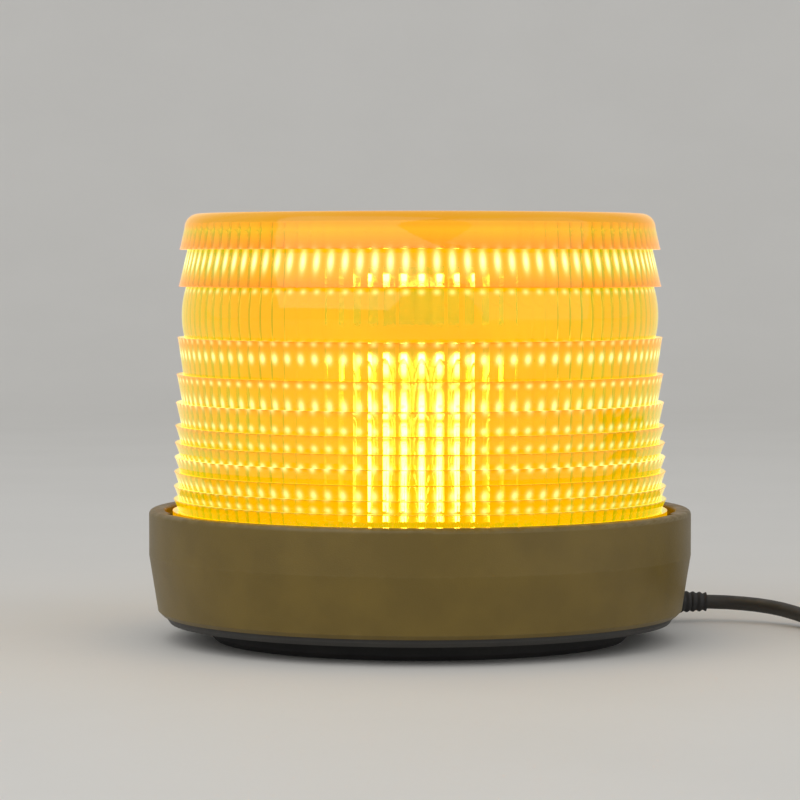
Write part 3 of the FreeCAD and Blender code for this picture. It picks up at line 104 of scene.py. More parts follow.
def coil_points():
    """Turns side by side, winding inwards on the floor and outwards on top of those."""
    outer = COIL_RADIUS + (COIL_ACROSS - 1) * CORD_RADIUS
    turns = [(outer - 2 * CORD_RADIUS * place, CORD_RADIUS) for place in range(COIL_ACROSS)]
    turns += [(radius, 3 * CORD_RADIUS) for radius, height in reversed(turns)]
    last = len(turns) - 1
    points = []
    slot = 0
    angle = COIL_IN
    while True:
        lap = angle % 360
        start = SHIFT_IN if slot < COIL_ACROSS - 1 else SHIFT_OUT
        if slot == COIL_ACROSS - 1:
            start = SHIFT_UP
        if slot < last and lap == start + SHIFT_SPAN:
            slot += 1
            # A turn that has just shifted doesn't start its next shift yet
            start = -SHIFT_SPAN
        share = 0.0
        if slot < last and start <= lap < start + SHIFT_SPAN:
            share = (lap - start) / SHIFT_SPAN
        (radius, height), (next_radius, next_height) = turns[slot], turns[min(slot + 1, last)]
        radius += (next_radius - radius) * share
        height += (next_height - height) * share
        turn = math.radians(angle)
        points.append((
            COIL_MIDDLE[0] + radius * math.cos(turn),
            COIL_MIDDLE[1] + radius * math.sin(turn),
            height,
        ))
        if slot == last and lap == COIL_OUT % 360:
            return points
        angle += COIL_STEP


def lead_curve(name, radius):
    """The lead's route as one smooth spline, round if it has a radius."""
    data = bpy.data.curves.new(name, "CURVE")
    data.dimensions = "3D"
    data.bevel_depth = radius * MM
    data.bevel_resolution = 5
    data.resolution_u = 5
    data.use_fill_caps = radius > 0
    spline = data.splines.new("NURBS")
    route = SUPPLY_ROUTE + coil_points() + PLUG_ROUTE
    spline.points.add(len(route) - 1)
    for point, spot in zip(spline.points, route):
        point.co = (spot[0] * MM, spot[1] * MM, spot[2] * MM, 1)
    spline.order_u = 3
    spline.use_endpoint_u = True
    lead = bpy.data.objects.new(name, data)
    scene.collection.objects.link(lead)
    return lead


def make_cord(finish):
    """The lead itself, from inside the base to inside the plug."""
    lead = lead_curve("supply_lead", CORD_RADIUS)
    lead.data.materials.append(finish)
    return lead


def lead_line():
    """A helper mesh of points down the middle of the lead."""
    route = lead_curve("lead_route", 0)
    depsgraph = bpy.context.evaluated_depsgraph_get()
    mesh = bpy.data.meshes.new_from_object(route.evaluated_get(depsgraph), depsgraph=depsgraph)
    bpy.data.objects.remove(route)
    line = bpy.data.objects.new("lead_line", mesh)
    scene.collection.objects.link(line)
    return line


# Sizes in millimetres, read from the frame where a node's box gives them

def low(node, axis):
    """A node's lower end along an axis."""
    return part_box(node)[0][axis] / MM


def high(node, axis):
    """A node's upper end along an axis."""
    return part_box(node)[1][axis] / MM


BASE_RADIUS = high("base_housing", 0)
RIM_HEIGHT = high("base_housing", 2)
WAIST_HEIGHT = 25.2
HEM_HEIGHT = 8.8
LIP_THICKNESS = 2.8
RIM_WALL = 2.5
LENS_TOP = high("lens", 2)
LENS_SEAT = low("lens", 2)
FOCUS = LENS_TOP - 28.85
LAMP_HEIGHT = high("reflector", 2) - 20.0
FOCAL_LENGTH = 18.0
LENS_ROOF = 3.3
LENS_CORNER = 4.1
LENS_SHOULDER = BASE_RADIUS - 10.7
LENS_FOOT_RADIUS = BASE_RADIUS - 7.0
LENS_FOOT_TOP = LENS_SEAT + 6.8
PRISM_FLATS = [7.45, 18.3, 26.6, 33.4, 38.4, 42.6, 46.9, 51.2, 55.0]
PRISMS_ABOVE = 2
TIP_ROUND = 0.18
TIP_INSET = 8.7
TIP_DRAFT = 0.026
ROOT_INSET = 10.85
ROOT_DRAFT = 0.036
BAND_RADIUS = 28.0
ROOF_RINGS = [0, 20, 45]
CORNER_STEPS = 8
BAND_STEPS = 12
WALL_STEPS = 6
MERGE_WITHIN = 0.002
FLUTES = 102
FLUTE_RADIUS = BASE_RADIUS - 12.4
FLUTE_DEPTH = 0.42
LUGS = 3
LUG_ANGLE = 20
LUG_FIRST = 64
LUG_THICKNESS = 2.7
LUG_CLEARANCE = 0.3


def tip(height):
    """How far the prism rings reach at a height; the lens widens downwards."""
    return BASE_RADIUS - TIP_INSET + TIP_DRAFT * (FOCUS - height)


def root(height):
    """The radius at the foot of the prism rings at a height."""
    return BASE_RADIUS - ROOT_INSET + ROOT_DRAFT * (FOCUS - height)


# Placements

def moved(x, y, z):
    """A placement without a turn, from millimetres."""
    return Matrix.Translation((x * MM, y * MM, z * MM))


def turned(degrees, axis):
    """A turn round one axis."""
    return Matrix.Rotation(math.radians(degrees), 4, axis)


# Kinds of socket

FLOAT = "NodeSocketFloat"
INTEGER = "NodeSocketInt"
VECTOR = "NodeSocketVector"
OBJECT = "NodeSocketObject"
MATERIAL = "NodeSocketMaterial"
GEOMETRY = "NodeSocketGeometry"


# Tools for shader and geometry trees

def feed(tree, socket, value):
    """Links another node's output to a socket, or sets the socket to a plain value or colour."""
    if isinstance(value, bpy.types.NodeSocket):
        tree.links.new(value, socket)
    elif socket.type == "RGBA":
        socket.default_value = (*value, 1)
    else:
        socket.default_value = value


def fill(tree, sockets, **values):
    """Sets or links the sockets that are named, with _ for a space."""
    for name, value in values.items():
        feed(tree, sockets[name.replace("_", " ")], value)


def add(tree, kind, inputs=None, **settings):
    """Adds a node, sets its properties, and sets or links its inputs by name or number."""
    made = tree.nodes.new(kind)
    for name, value in settings.items():
        setattr(made, name, value)
    for name, value in (inputs or {}).items():
        feed(tree, made.inputs[name], value)
    return made


def result(tree, kind, inputs=None, **settings):
    """The first output of a new node."""
    return add(tree, kind, inputs, **settings).outputs[0]


def sums(tree, operation, first, second=0.0, third=0.0, clamp=False):
    """One Math node's answer; shader and geometry trees alike have it."""
    return result(tree, "ShaderNodeMath", {0: first, 1: second, 2: third},
                  operation=operation, use_clamp=clamp)


def chained(operation):
    """A function that takes two or more values through one kind of sum, from the left."""
    def run(tree, first, *others):
        for other in others:
            first = sums(tree, operation, first, other)
        return first
    return run


plus, minus, times, over = map(chained, ("ADD", "SUBTRACT", "MULTIPLY", "DIVIDE"))
larger, smaller = map(chained, ("MAXIMUM", "MINIMUM"))


def mixed(tree, share, first, second):
    """A colour that goes from the first to the second as the share goes from 0 to 1."""
    return add(tree, "ShaderNodeMix", {"Factor": share, 6: first, 7: second},
               data_type="RGBA").outputs[2]


def ramp(tree, value, start, end):
    """A smooth step from 0 at the start value to 1 at the end value."""
    return result(tree, "ShaderNodeMapRange", {"Value": value, "From Min": start, "From Max": end},
                  interpolation_type="SMOOTHSTEP")


def bell(tree, value, middle, width):
    """A bell curve of height 1 round a middle value."""
    off = over(tree, minus(tree, value, middle), width)
    return sums(tree, "POWER", math.e, times(tree, off, off, -1.0))


def xyz(tree, vector):
    """The X, Y and Z of a vector, by name."""
    return add(tree, "ShaderNodeSeparateXYZ", {0: vector}).outputs


def from_axis(tree, spot):
    """How far a spot lies from the Z axis."""
    return sums(tree, "SQRT", plus(tree, times(tree, spot["X"], spot["X"]),
                                   times(tree, spot["Y"], spot["Y"])))


def noise(tree, place, scale, detail):
    """A cloudy value from 0 to 1."""
    return result(tree, "ShaderNodeTexNoise", {"Vector": place, "Scale": scale, "Detail": detail})


def bumped(tree, height, depth):
    """The normal of a surface that a height raises."""
    return result(tree, "ShaderNodeBump", {"Height": height, "Distance": depth})


def open_tree(kind, name, inputs, outputs):
    """A node group with named sockets, and the sockets of its input and output nodes."""
    tree = bpy.data.node_groups.new(name, kind)
    for label, socket_type, value in inputs:
        socket = tree.interface.new_socket(label, in_out="INPUT", socket_type=socket_type)
        if value is not None:
            socket.default_value = value
    for label, socket_type in outputs:
        tree.interface.new_socket(label, in_out="OUTPUT", socket_type=socket_type)
    return tree, tree.nodes.new("NodeGroupInput").outputs, tree.nodes.new("NodeGroupOutput").inputs


def effect_tree(name, inputs, outputs):
    """Opens a shader group."""
    return open_tree("ShaderNodeTree", name, inputs, outputs)


def shape_tree(name, inputs):
    """Opens a geometry tree that takes a finish and gives a mesh."""
    return open_tree("GeometryNodeTree", name, inputs + [("Finish", MATERIAL, None)],
                     [("Geometry", GEOMETRY)])


def finish_tree(tree, given, out, geometry):
    """Ends a geometry tree: real mesh, with its material."""
    real = result(tree, "GeometryNodeRealizeInstances", {"Geometry": geometry})
    dressed = result(tree, "GeometryNodeSetMaterial", {"Geometry": real, "Material": given["Finish"]})
    fill(tree, out, Geometry=dressed)
    return tree


def used(tree, group, **values):
    """The outputs of a shader group's node, with the inputs that are named set or linked."""
    node = add(tree, "ShaderNodeGroup", node_tree=group)
    fill(tree, node.inputs, **values)
    return node.outputs


def grown(name, tree, place=None, **values):
    """The plain mesh that a geometry tree makes from its named inputs, put in its place."""
    base = bpy.data.objects.new(name + "_seed", bpy.data.meshes.new(name + "_seed"))
    scene.collection.objects.link(base)
    modifier = base.modifiers.new(name, "NODES")
    modifier.node_group = tree
    for socket in tree.interface.items_tree:
        if socket.in_out == "INPUT":
            modifier[socket.identifier] = values[socket.name.replace(" ", "_")]
    depsgraph = bpy.context.evaluated_depsgraph_get()
    mesh = bpy.data.meshes.new_from_object(base.evaluated_get(depsgraph), depsgraph=depsgraph)
    mesh.name = name
    base.modifiers.remove(modifier)
    bpy.data.objects.remove(base)
    if place:
        mesh.transform(place)
    outward(mesh)
    piece = bpy.data.objects.new(name, mesh)
    scene.collection.objects.link(piece)
    return piece


def outward(mesh):
    """Turns a closed mesh so that its faces point outwards."""
    work = bmesh.new()
    work.from_mesh(mesh)
    if work.calc_volume(signed=True) < 0:
        bmesh.ops.reverse_faces(work, faces=work.faces)
        work.to_mesh(mesh)
    work.free()


def fitted(piece, body, slot, *nodes):
    """Puts a finished piece on the body it rides on and hides the nodes it stands for; the slot is not
    used.
    """
    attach(piece, body)
    if nodes:
        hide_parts(*nodes)
    return piece


# Shared effects: grain, rings, wear and dust

CLOUD_TO_GRAIN = 0.03
FILM_PER_METRE = 60.0
SPECKS_PER_METRE = 900.0


def fine_grain():
    """Moulded or cast grain, and the soft unevenness of colour that goes with it."""
    tree, given, out = effect_tree("fine_grain", [
        ("Place", VECTOR, None), ("Grain per metre", FLOAT, 2500.0), ("Depth", FLOAT, 0.00004),
    ], [("Mask", FLOAT), ("Cloud", FLOAT), ("Normal", VECTOR)])
    grain = noise(tree, given["Place"], given["Grain per metre"], 3.0)
    cloud = noise(tree, given["Place"], times(tree, given["Grain per metre"], CLOUD_TO_GRAIN), 4.0)
    fill(tree, out, Mask=grain, Cloud=ramp(tree, cloud, 0.3, 0.7),
         Normal=bumped(tree, grain, given["Depth"]))
    return tree


def turned_rings():
    """Fine rings round the Z axis, as turning, spinning or polishing leaves them."""
    tree, given, out = effect_tree("turned_rings", [
        ("Place", VECTOR, None), ("Rings per metre", FLOAT, 4000.0), ("Depth", FLOAT, 0.00001),
    ], [("Mask", FLOAT), ("Normal", VECTOR)])
    spot = xyz(tree, given["Place"])
    across = result(tree, "ShaderNodeCombineXYZ", {"X": from_axis(tree, spot), "Y": spot["Z"]})
    ring = noise(tree, across, given["Rings per metre"], 2.0)
    fill(tree, out, Mask=ring, Normal=bumped(tree, ring, given["Depth"]))
    return tree


def settled_dust():
    """Specks and films of dust that lie on what faces up."""
    tree, given, out = effect_tree("settled_dust", [
        ("Place", VECTOR, None), ("Amount", FLOAT, 0.5),
    ], [("Mask", FLOAT)])
    facing = xyz(tree, add(tree, "ShaderNodeNewGeometry").outputs["Normal"])["Z"]
    film = noise(tree, given["Place"], FILM_PER_METRE, 6.0)
    away = result(tree, "ShaderNodeTexVoronoi", {"Vector": given["Place"], "Scale": SPECKS_PER_METRE})
    speck = minus(tree, 1.0, ramp(tree, away, 0.05, 0.22))
    both = larger(tree, ramp(tree, film, 0.45, 0.8), times(tree, speck, 0.5))
    fill(tree, out, Mask=times(tree, both, ramp(tree, facing, 0.2, 0.9), given["Amount"]))
    return tree


def rubbed_edge():
    """Wear along a rim at one height and beyond one radius, broken up as handling leaves it."""
    tree, given, out = effect_tree("rubbed_edge", [
        ("Place", VECTOR, None), ("Height", FLOAT, 0.0385), ("Reach", FLOAT, 0.0012),
        ("From radius", FLOAT, 0.0), ("Marks per metre", FLOAT, 350.0),
    ], [("Mask", FLOAT)])
    spot = xyz(tree, given["Place"])
    rim = bell(tree, spot["Z"], given["Height"], given["Reach"])
    outside = sums(tree, "GREATER_THAN", from_axis(tree, spot), given["From radius"])
    marks = noise(tree, given["Place"], given["Marks per metre"], 5.0)
    fill(tree, out, Mask=times(tree, rim, outside, ramp(tree, marks, 0.4, 0.65)))
    return tree


def lit_row():
    """One row of light spots round the lens, one to each flute, at a height."""
    tree, given, out = effect_tree("lit_row", [
        ("Height", FLOAT, 0.1), ("Across flute", FLOAT, 0.5), ("Middle", FLOAT, 0.1),
        ("Half height", FLOAT, 0.001), ("Half width", FLOAT, 0.2), ("Strength", FLOAT, 1.0),
    ], [("Mask", FLOAT)])
    up = bell(tree, given["Height"], given["Middle"], given["Half height"])
    along = bell(tree, given["Across flute"], 0.5, given["Half width"])
    fill(tree, out, Mask=times(tree, up, along, given["Strength"]))
    return tree


GRAIN = fine_grain()
RINGS = turned_rings()
DUST = settled_dust()
RUBBED = rubbed_edge()
LIT_ROW = lit_row()


# Finishes; the lengths named here are in millimetres

DUST_COLOUR = (0.30, 0.27, 0.22)
# The base's two colours are black plastic tinted warm brown: painted amber light from the lens falling
# on it.
BASE_AMBER_LIT = (0.130, 0.083, 0.006)
BASE_AMBER_LIT_SECOND = (0.155, 0.100, 0.009)
BASE_WORN = (0.22, 0.16, 0.05)
# Each rubbed edge: its height, its reach and how far in from the rim it starts
RUBBED_EDGES = [(RIM_HEIGHT, 0.9, 6), (WAIST_HEIGHT, 0.5, 2), (HEM_HEIGHT, 0.7, 5)]
LOW_EDGE_SHARE = 0.15
WEAR_SHARE = 0.6
WEAR_POLISH = 0.08
DUST_DULLING = 0.3
RING_DULLING = 0.12
REFLECTOR_STRENGTH = 40.0
REFLECTED_LIGHT = (0.80, 0.88, 1.0)
HOLLOW_SKIN = 0.4
COLUMN_WIDTH = 5.6
FRINGE_WIDTH = 10.0
FRINGE_SHARE = 0.03
LIT_UNTIL = (13.8, 15.5)
SHADOW_RISE = 7.3
SHADOW_REACH = 3.2
SHADOW_DEPTH = 0.99
# From these heights up the reflector turns darker brown-grey and duller: painted shade on its top.
SHADED_TOP_FROM = (11.0, 14.5)
SHADED_TOP_COLOUR = (0.12, 0.10, 0.08)
SHADED_TOP_DULLING = 0.4
MIRROR_ROUGHNESS = 0.03
MIRROR_HAZE = 0.06
FILAMENT_STRENGTH = 220.0
HOT_WIDTH = 4.2
COOL_BELOW = 4
HOT_ABOVE = 1
SWIRL_SHARE = 0.35
GLASS_HAZE = 0.03

Finish = namedtuple("Finish", "made tree shader spot tint gloss normal")


def material(name, colour, roughness, metallic=0.0, **sockets):
    """A new material: its node tree, its Principled shader and its Object coordinates."""
    made = bpy.data.materials.new(name)
    made.use_nodes = True
    tree = made.node_tree
    shader = tree.nodes["Principled BSDF"]
    fill(tree, shader.inputs, Base_Color=colour, Roughness=roughness, Metallic=metallic, **sockets)
    return made, tree, shader, add(tree, "ShaderNodeTexCoord").outputs["Object"]


def grained(name, colour, second, roughness, spread, grain, depth, metallic=0.0, dust=0.0,
            **sockets):
    """A moulded, cast or plated finish: grain, an uneven colour and gloss, and some dust."""
    made, tree, shader, spot = material(name, colour, roughness, metallic, **sockets)
    effect = used(tree, GRAIN, Place=spot, Grain_per_metre=grain, Depth=depth)
    tint = mixed(tree, effect["Cloud"], colour, second)
    gloss = plus(tree, roughness, times(tree, effect["Mask"], spread))
    if dust:
        film = used(tree, DUST, Place=spot, Amount=dust)["Mask"]
        tint = mixed(tree, film, tint, DUST_COLOUR)
        gloss = sums(tree, "ADD", gloss, times(tree, film, DUST_DULLING), clamp=True)
    fill(tree, shader.inputs, Base_Color=tint, Roughness=gloss, Normal=effect["Normal"])
    return Finish(made, tree, shader, spot, tint, gloss, effect["Normal"])


def turned_metal(name, colour, second, roughness, rings, depth):
    """A metal turned, spun or polished round the Z axis."""
    made, tree, shader, spot = material(name, colour, roughness, 1.0)
    effect = used(tree, RINGS, Place=spot, Rings_per_metre=rings, Depth=depth)
    cloud = used(tree, GRAIN, Place=spot, Grain_per_metre=3000.0, Depth=0.00001)["Cloud"]
    fill(tree, shader.inputs, Base_Color=mixed(tree, cloud, colour, second),
         Roughness=plus(tree, roughness, times(tree, effect["Mask"], RING_DULLING)),
         Normal=effect["Normal"])
    return made


def base_plastic():
    """The bowl's black satin plastic, tinted warm brown as painted amber light from the lens, rubbed
    paler along its rim and a little at its waist and hem.
    """
    base = grained("base_plastic", BASE_AMBER_LIT, BASE_AMBER_LIT_SECOND, roughness=0.34, spread=0.16,
                   grain=2200.0, depth=0.00005, dust=0.35)
    tree = base.tree
    rim, waist, hem = (
        used(tree, RUBBED, Place=base.spot, Height=height * MM, Reach=reach * MM,
             From_radius=(BASE_RADIUS - inset) * MM)["Mask"]
        for height, reach, inset in RUBBED_EDGES)
    worn = larger(tree, rim, times(tree, larger(tree, waist, hem), LOW_EDGE_SHARE))
    fill(tree, base.shader.inputs,
         Base_Color=mixed(tree, times(tree, worn, WEAR_SHARE), base.tint, BASE_WORN),
         Roughness=minus(tree, base.gloss, times(tree, worn, WEAR_POLISH)))
    return base.made


def foot_rubber():
    """Matt rubber with moulded grip rings."""
    foot = grained("foot_rubber", (0.022, 0.021, 0.020), (0.034, 0.032, 0.029), roughness=0.72,
                   spread=0.2, grain=1400.0, depth=0.00006, dust=0.3)
    rings = used(foot.tree, RINGS, Place=foot.spot, Rings_per_metre=500.0, Depth=0.0002)
    both = result(foot.tree, "ShaderNodeVectorMath", {0: rings["Normal"], 1: foot.normal},
                  operation="ADD")
    normal = result(foot.tree, "ShaderNodeVectorMath", {0: both}, operation="NORMALIZE")
    fill(foot.tree, foot.shader.inputs, Normal=normal)
    return foot.made


def reflector_finish():
    """Bright metallised plastic, full of the lamp's light in its hollow, its top darker and duller as
    painted shade.
    """
    made, tree, shader, spot = material("bright_reflector", (0.92, 0.92, 0.91), 0.05, 1.0,
                                        Emission_Strength=REFLECTOR_STRENGTH)
    place = xyz(tree, spot)
    up = minus(tree, place["Z"], LAMP_HEIGHT * MM)
    sideways = times(tree, place["X"], place["X"])
    square = plus(tree, sideways, times(tree, up, up))
    hollow = minus(tree, FOCAL_LENGTH * MM, over(tree, square, 4 * FOCAL_LENGTH * MM))
    inside = sums(tree, "LESS_THAN", minus(tree, place["Y"], hollow), HOLLOW_SKIN * MM)
    fringe = times(tree, bell(tree, place["X"], 0.0, FRINGE_WIDTH * MM), FRINGE_SHARE)
    column = plus(tree, bell(tree, sideways, 0.0, (COLUMN_WIDTH * MM) ** 2), fringe)
    below_top = minus(tree, 1.0, ramp(tree, up, LIT_UNTIL[0] * MM, LIT_UNTIL[1] * MM))
    shaded = times(tree, bell(tree, up, SHADOW_RISE * MM, SHADOW_REACH * MM), SHADOW_DEPTH)
    light = times(tree, inside, times(tree, below_top, minus(tree, 1.0, shaded)), column)
    haze = used(tree, GRAIN, Place=spot, Grain_per_metre=1500.0, Depth=0.000004)
    # Painted shade: the reflector's top darker and duller
    shaded_top = ramp(tree, up, SHADED_TOP_FROM[0] * MM, SHADED_TOP_FROM[1] * MM)
    bright = mixed(tree, haze["Cloud"], (0.93, 0.93, 0.92), (0.86, 0.86, 0.85))
    dull = plus(tree, times(tree, haze["Cloud"], MIRROR_HAZE), times(tree, shaded_top, SHADED_TOP_DULLING))
    fill(tree, shader.inputs, Emission_Color=mixed(tree, light, (0.0, 0.0, 0.0), REFLECTED_LIGHT),
         Base_Color=mixed(tree, shaded_top, bright, SHADED_TOP_COLOUR),
         Roughness=plus(tree, MIRROR_ROUGHNESS, dull), Normal=haze["Normal"])
    return made


def nylon():
    """Natural nylon with the faint swirls of moulding."""
    base = grained("natural_nylon", (0.78, 0.75, 0.66), (0.70, 0.66, 0.56), roughness=0.36,
                   spread=0.14, grain=1600.0, depth=0.00002, Subsurface_Weight=0.15,
                   Subsurface_Scale=0.002)
    swirl = add(base.tree, "ShaderNodeTexWave", {"Vector": base.spot, "Scale": 12.0,
                                                 "Distortion": 9.0, "Detail": 3.0}).outputs["Fac"]
    share = times(base.tree, swirl, SWIRL_SHARE)
    fill(base.tree, base.shader.inputs,
         Base_Color=mixed(base.tree, share, base.tint, (0.62, 0.57, 0.46)))
    return base.made


def clear_glass():
    """Clear glass with the faintest haze."""
    made, tree, shader, spot = material("bulb_glass", (1.0, 0.99, 0.97), 0.0, IOR=1.5,
                                        Transmission_Weight=1.0)
    haze = used(tree, GRAIN, Place=spot, Grain_per_metre=1200.0, Depth=0.00001)
    fill(tree, shader.inputs, Roughness=times(tree, haze["Cloud"], GLASS_HAZE), Normal=haze["Normal"])
    return made


def hot_filament():
    """A glowing coil: hottest in the middle of its length, cool down its support wires."""
    made, tree, shader, spot = material("hot_filament", (0.9, 0.6, 0.3), 0.5,
                                        Emission_Strength=FILAMENT_STRENGTH)
    place = xyz(tree, spot)
    heat = times(tree, bell(tree, place["X"], 0.0, HOT_WIDTH * MM),
                 ramp(tree, place["Z"], (LAMP_HEIGHT - COOL_BELOW) * MM, (LAMP_HEIGHT - HOT_ABOVE) * MM))
    fill(tree, shader.inputs,
         Emission_Color=mixed(tree, heat, (0.03, 0.006, 0.0), (1.0, 0.78, 0.42)))
    return made


# Lens: shape

def prism(flat, way):
    """One prism ring's corners, from the root of its flat side to the end of its rounded tip."""
    reach = tip(flat)
    return [(root(flat), 0, flat), (reach - TIP_ROUND, 0, flat), (reach, 0, flat + way * TIP_ROUND),
            (reach - TIP_ROUND, 0, flat + 2 * way * TIP_ROUND)]


def lens_outline():
    """Down the outside from the middle of the top, and up the fluted inside to the roof."""
    outline = [(radius, 0, LENS_TOP) for radius in ROOF_RINGS]
    for step in range(CORNER_STEPS + 1):
        turn = math.radians(90 * step / CORNER_STEPS)
        outline.append((LENS_SHOULDER - LENS_CORNER * (1 - math.sin(turn)), 0,
                        LENS_TOP - LENS_CORNER * (1 - math.cos(turn))))
    for rise in reversed(PRISM_FLATS[:PRISMS_ABOVE]):
        outline += reversed(prism(FOCUS + rise, 1))
    half = PRISM_FLATS[0]
    for step in range(1, BAND_STEPS):
        rise = half - 2 * half * step / BAND_STEPS
        bulge = math.sqrt(BAND_RADIUS ** 2 - rise ** 2) - math.sqrt(BAND_RADIUS ** 2 - half ** 2)
        outline.append((root(FOCUS + rise) + bulge, 0, FOCUS + rise))
    for drop in PRISM_FLATS:
        outline += prism(FOCUS - drop, -1)
    outline += [(root(LENS_FOOT_TOP), 0, LENS_FOOT_TOP), (LENS_FOOT_RADIUS, 0, LENS_FOOT_TOP),
                (LENS_FOOT_RADIUS, 0, LENS_SEAT)]
    roof = LENS_TOP - LENS_ROOF
    outline += [(FLUTE_RADIUS, 1, LENS_SEAT + (roof - LENS_SEAT) * step / WALL_STEPS)
                for step in range(WALL_STEPS + 1)]
    outline += [(radius, 0, roof) for radius in reversed(ROOF_RINGS)]
    return [(radius * MM, share, height * MM) for radius, share, height in outline]


def polyline(name, corners):
    """A helper mesh whose points carry (radius, flute share, height) down a turned outline."""
    mesh = bpy.data.meshes.new(name)
    mesh.from_pydata(corners, [(place, place + 1) for place in range(len(corners) - 1)], [])
    helper = bpy.data.objects.new(name, mesh)
    scene.collection.objects.link(helper)
    return helper


# Geometry trees

WIRE_SIDES = 10


def circle(tree, radius, sides):
    """A round section or ring."""
    return result(tree, "GeometryNodeCurvePrimitiveCircle", {"Resolution": sides, "Radius": radius},
                  mode="RADIUS")


def oblong(tree, width, height):
    """A rectangular section or loop."""
    return result(tree, "GeometryNodeCurvePrimitiveQuadrilateral", {"Width": width, "Height": height})


def swept(tree, route, section, scale=1.0, caps=True):
    """The mesh that a section leaves as it runs along a route."""
    return result(tree, "GeometryNodeCurveToMesh", {
        "Curve": route, "Profile Curve": section, "Scale": scale, "Fill Caps": caps,
    })


def smoothed(tree, geometry):
    """The same geometry, shaded smooth."""
    return result(tree, "GeometryNodeSetShadeSmooth", {"Geometry": geometry})


def fluted_turning():
    """Turns an outline round the axis and hollows its fluted part between sharp cusps."""
    tree, given, out = shape_tree("fluted_turning", [
        ("Outline", OBJECT, None), ("Flutes", INTEGER, FLUTES), ("Columns per flute", INTEGER, 8),
        ("Flute depth", FLOAT, FLUTE_DEPTH * MM), ("Sharp angle", FLOAT, 0.6),
        ("Merge distance", FLOAT, MERGE_WITHIN * MM),
    ])
    outline = add(tree, "GeometryNodeObjectInfo", {"Object": given["Outline"]}).outputs["Geometry"]
    rows = add(tree, "GeometryNodeAttributeDomainSize", {"Geometry": outline}).outputs["Point Count"]
    columns = times(tree, given["Flutes"], given["Columns per flute"])
    last_row = minus(tree, rows, 1.0)
    sheet = result(tree, "GeometryNodeMeshGrid", {
        "Size X": columns, "Size Y": last_row, "Vertices X": plus(tree, columns, 1.0),
        "Vertices Y": rows,
    })
    position = result(tree, "GeometryNodeInputPosition")
    place = xyz(tree, position)
    column = plus(tree, place["X"], times(tree, columns, 0.5))
    row = sums(tree, "ROUND", plus(tree, place["Y"], times(tree, last_row, 0.5)))
    spot = xyz(tree, result(tree, "GeometryNodeSampleIndex", {
        "Geometry": outline, "Value": position, "Index": row}, data_type="FLOAT_VECTOR"))
    across = sums(tree, "FRACT", over(tree, column, given["Columns per flute"]))
    from_middle = minus(tree, times(tree, across, 2.0), 1.0)
    hollow = minus(tree, 1.0, times(tree, from_middle, from_middle))
    depth = times(tree, hollow, given["Flute depth"], spot["Y"])
    radius = minus(tree, spot["X"], depth)
    turn = times(tree, over(tree, column, columns), math.tau)
    point = result(tree, "ShaderNodeCombineXYZ", {
        "X": times(tree, radius, sums(tree, "COSINE", turn)),
        "Y": times(tree, radius, sums(tree, "SINE", turn)), "Z": spot["Z"],
    })
    shaped = result(tree, "GeometryNodeSetPosition", {"Geometry": sheet, "Position": point})
    closed = result(tree, "GeometryNodeMergeByDistance", {
        "Geometry": shaped, "Distance": given["Merge distance"]})
    bent = add(tree, "GeometryNodeInputMeshEdgeAngle").outputs["Unsigned Angle"]
    sharp = result(tree, "FunctionNodeCompare", {0: bent, 1: given["Sharp angle"]},
                   operation="GREATER_THAN")
    edged = result(tree, "GeometryNodeSetShadeSmooth", {
        "Geometry": smoothed(tree, closed), "Selection": sharp, "Shade Smooth": False,
    }, domain="EDGE")
    return finish_tree(tree, given, out, edged)


def lug_ring():
    """Lugs bent to a radius, set round the axis at equal angles."""
    tree, given, out = shape_tree("lug_ring", [
        ("Count", INTEGER, 3), ("Middle radius", FLOAT, 0.07), ("Width", FLOAT, 0.004),
        ("Height", FLOAT, 0.003), ("Arc angle", FLOAT, 0.35), ("First angle", FLOAT, 0.0),
    ])
    arc = result(tree, "GeometryNodeCurveArc", {
        "Resolution": 12, "Radius": given["Middle radius"],
        "Start Angle": times(tree, given["Arc angle"], -0.5), "Sweep Angle": given["Arc angle"],
    }, mode="RADIUS")
    lug = swept(tree, arc, oblong(tree, given["Width"], given["Height"]))
    places = result(tree, "GeometryNodeMeshLine", {"Count": given["Count"], "Offset": (0, 0, 0)})
    step = over(tree, math.tau, given["Count"])
    turn = sums(tree, "MULTIPLY_ADD", result(tree, "GeometryNodeInputIndex"), step,
                given["First angle"])
    ring = result(tree, "GeometryNodeInstanceOnPoints", {
        "Points": places, "Instance": lug,
        "Rotation": result(tree, "ShaderNodeCombineXYZ", {"Z": turn}),
    })
    return finish_tree(tree, given, out, ring)


def coiled_wire():
    """A round wire wound round the Z axis."""
    tree, given, out = shape_tree("coiled_wire", [
        ("Turns", FLOAT, 4.0), ("Radius", FLOAT, 0.002), ("Height", FLOAT, 0.005),
        ("Wire radius", FLOAT, 0.0003), ("Steps per turn", INTEGER, 24),
    ])
    winding = result(tree, "GeometryNodeCurveSpiral", {
        "Resolution": given["Steps per turn"], "Rotations": given["Turns"],
        "Start Radius": given["Radius"], "End Radius": given["Radius"], "Height": given["Height"],
    })
    wire = swept(tree, winding, circle(tree, given["Wire radius"], WIRE_SIDES))
    return finish_tree(tree, given, out, smoothed(tree, wire))


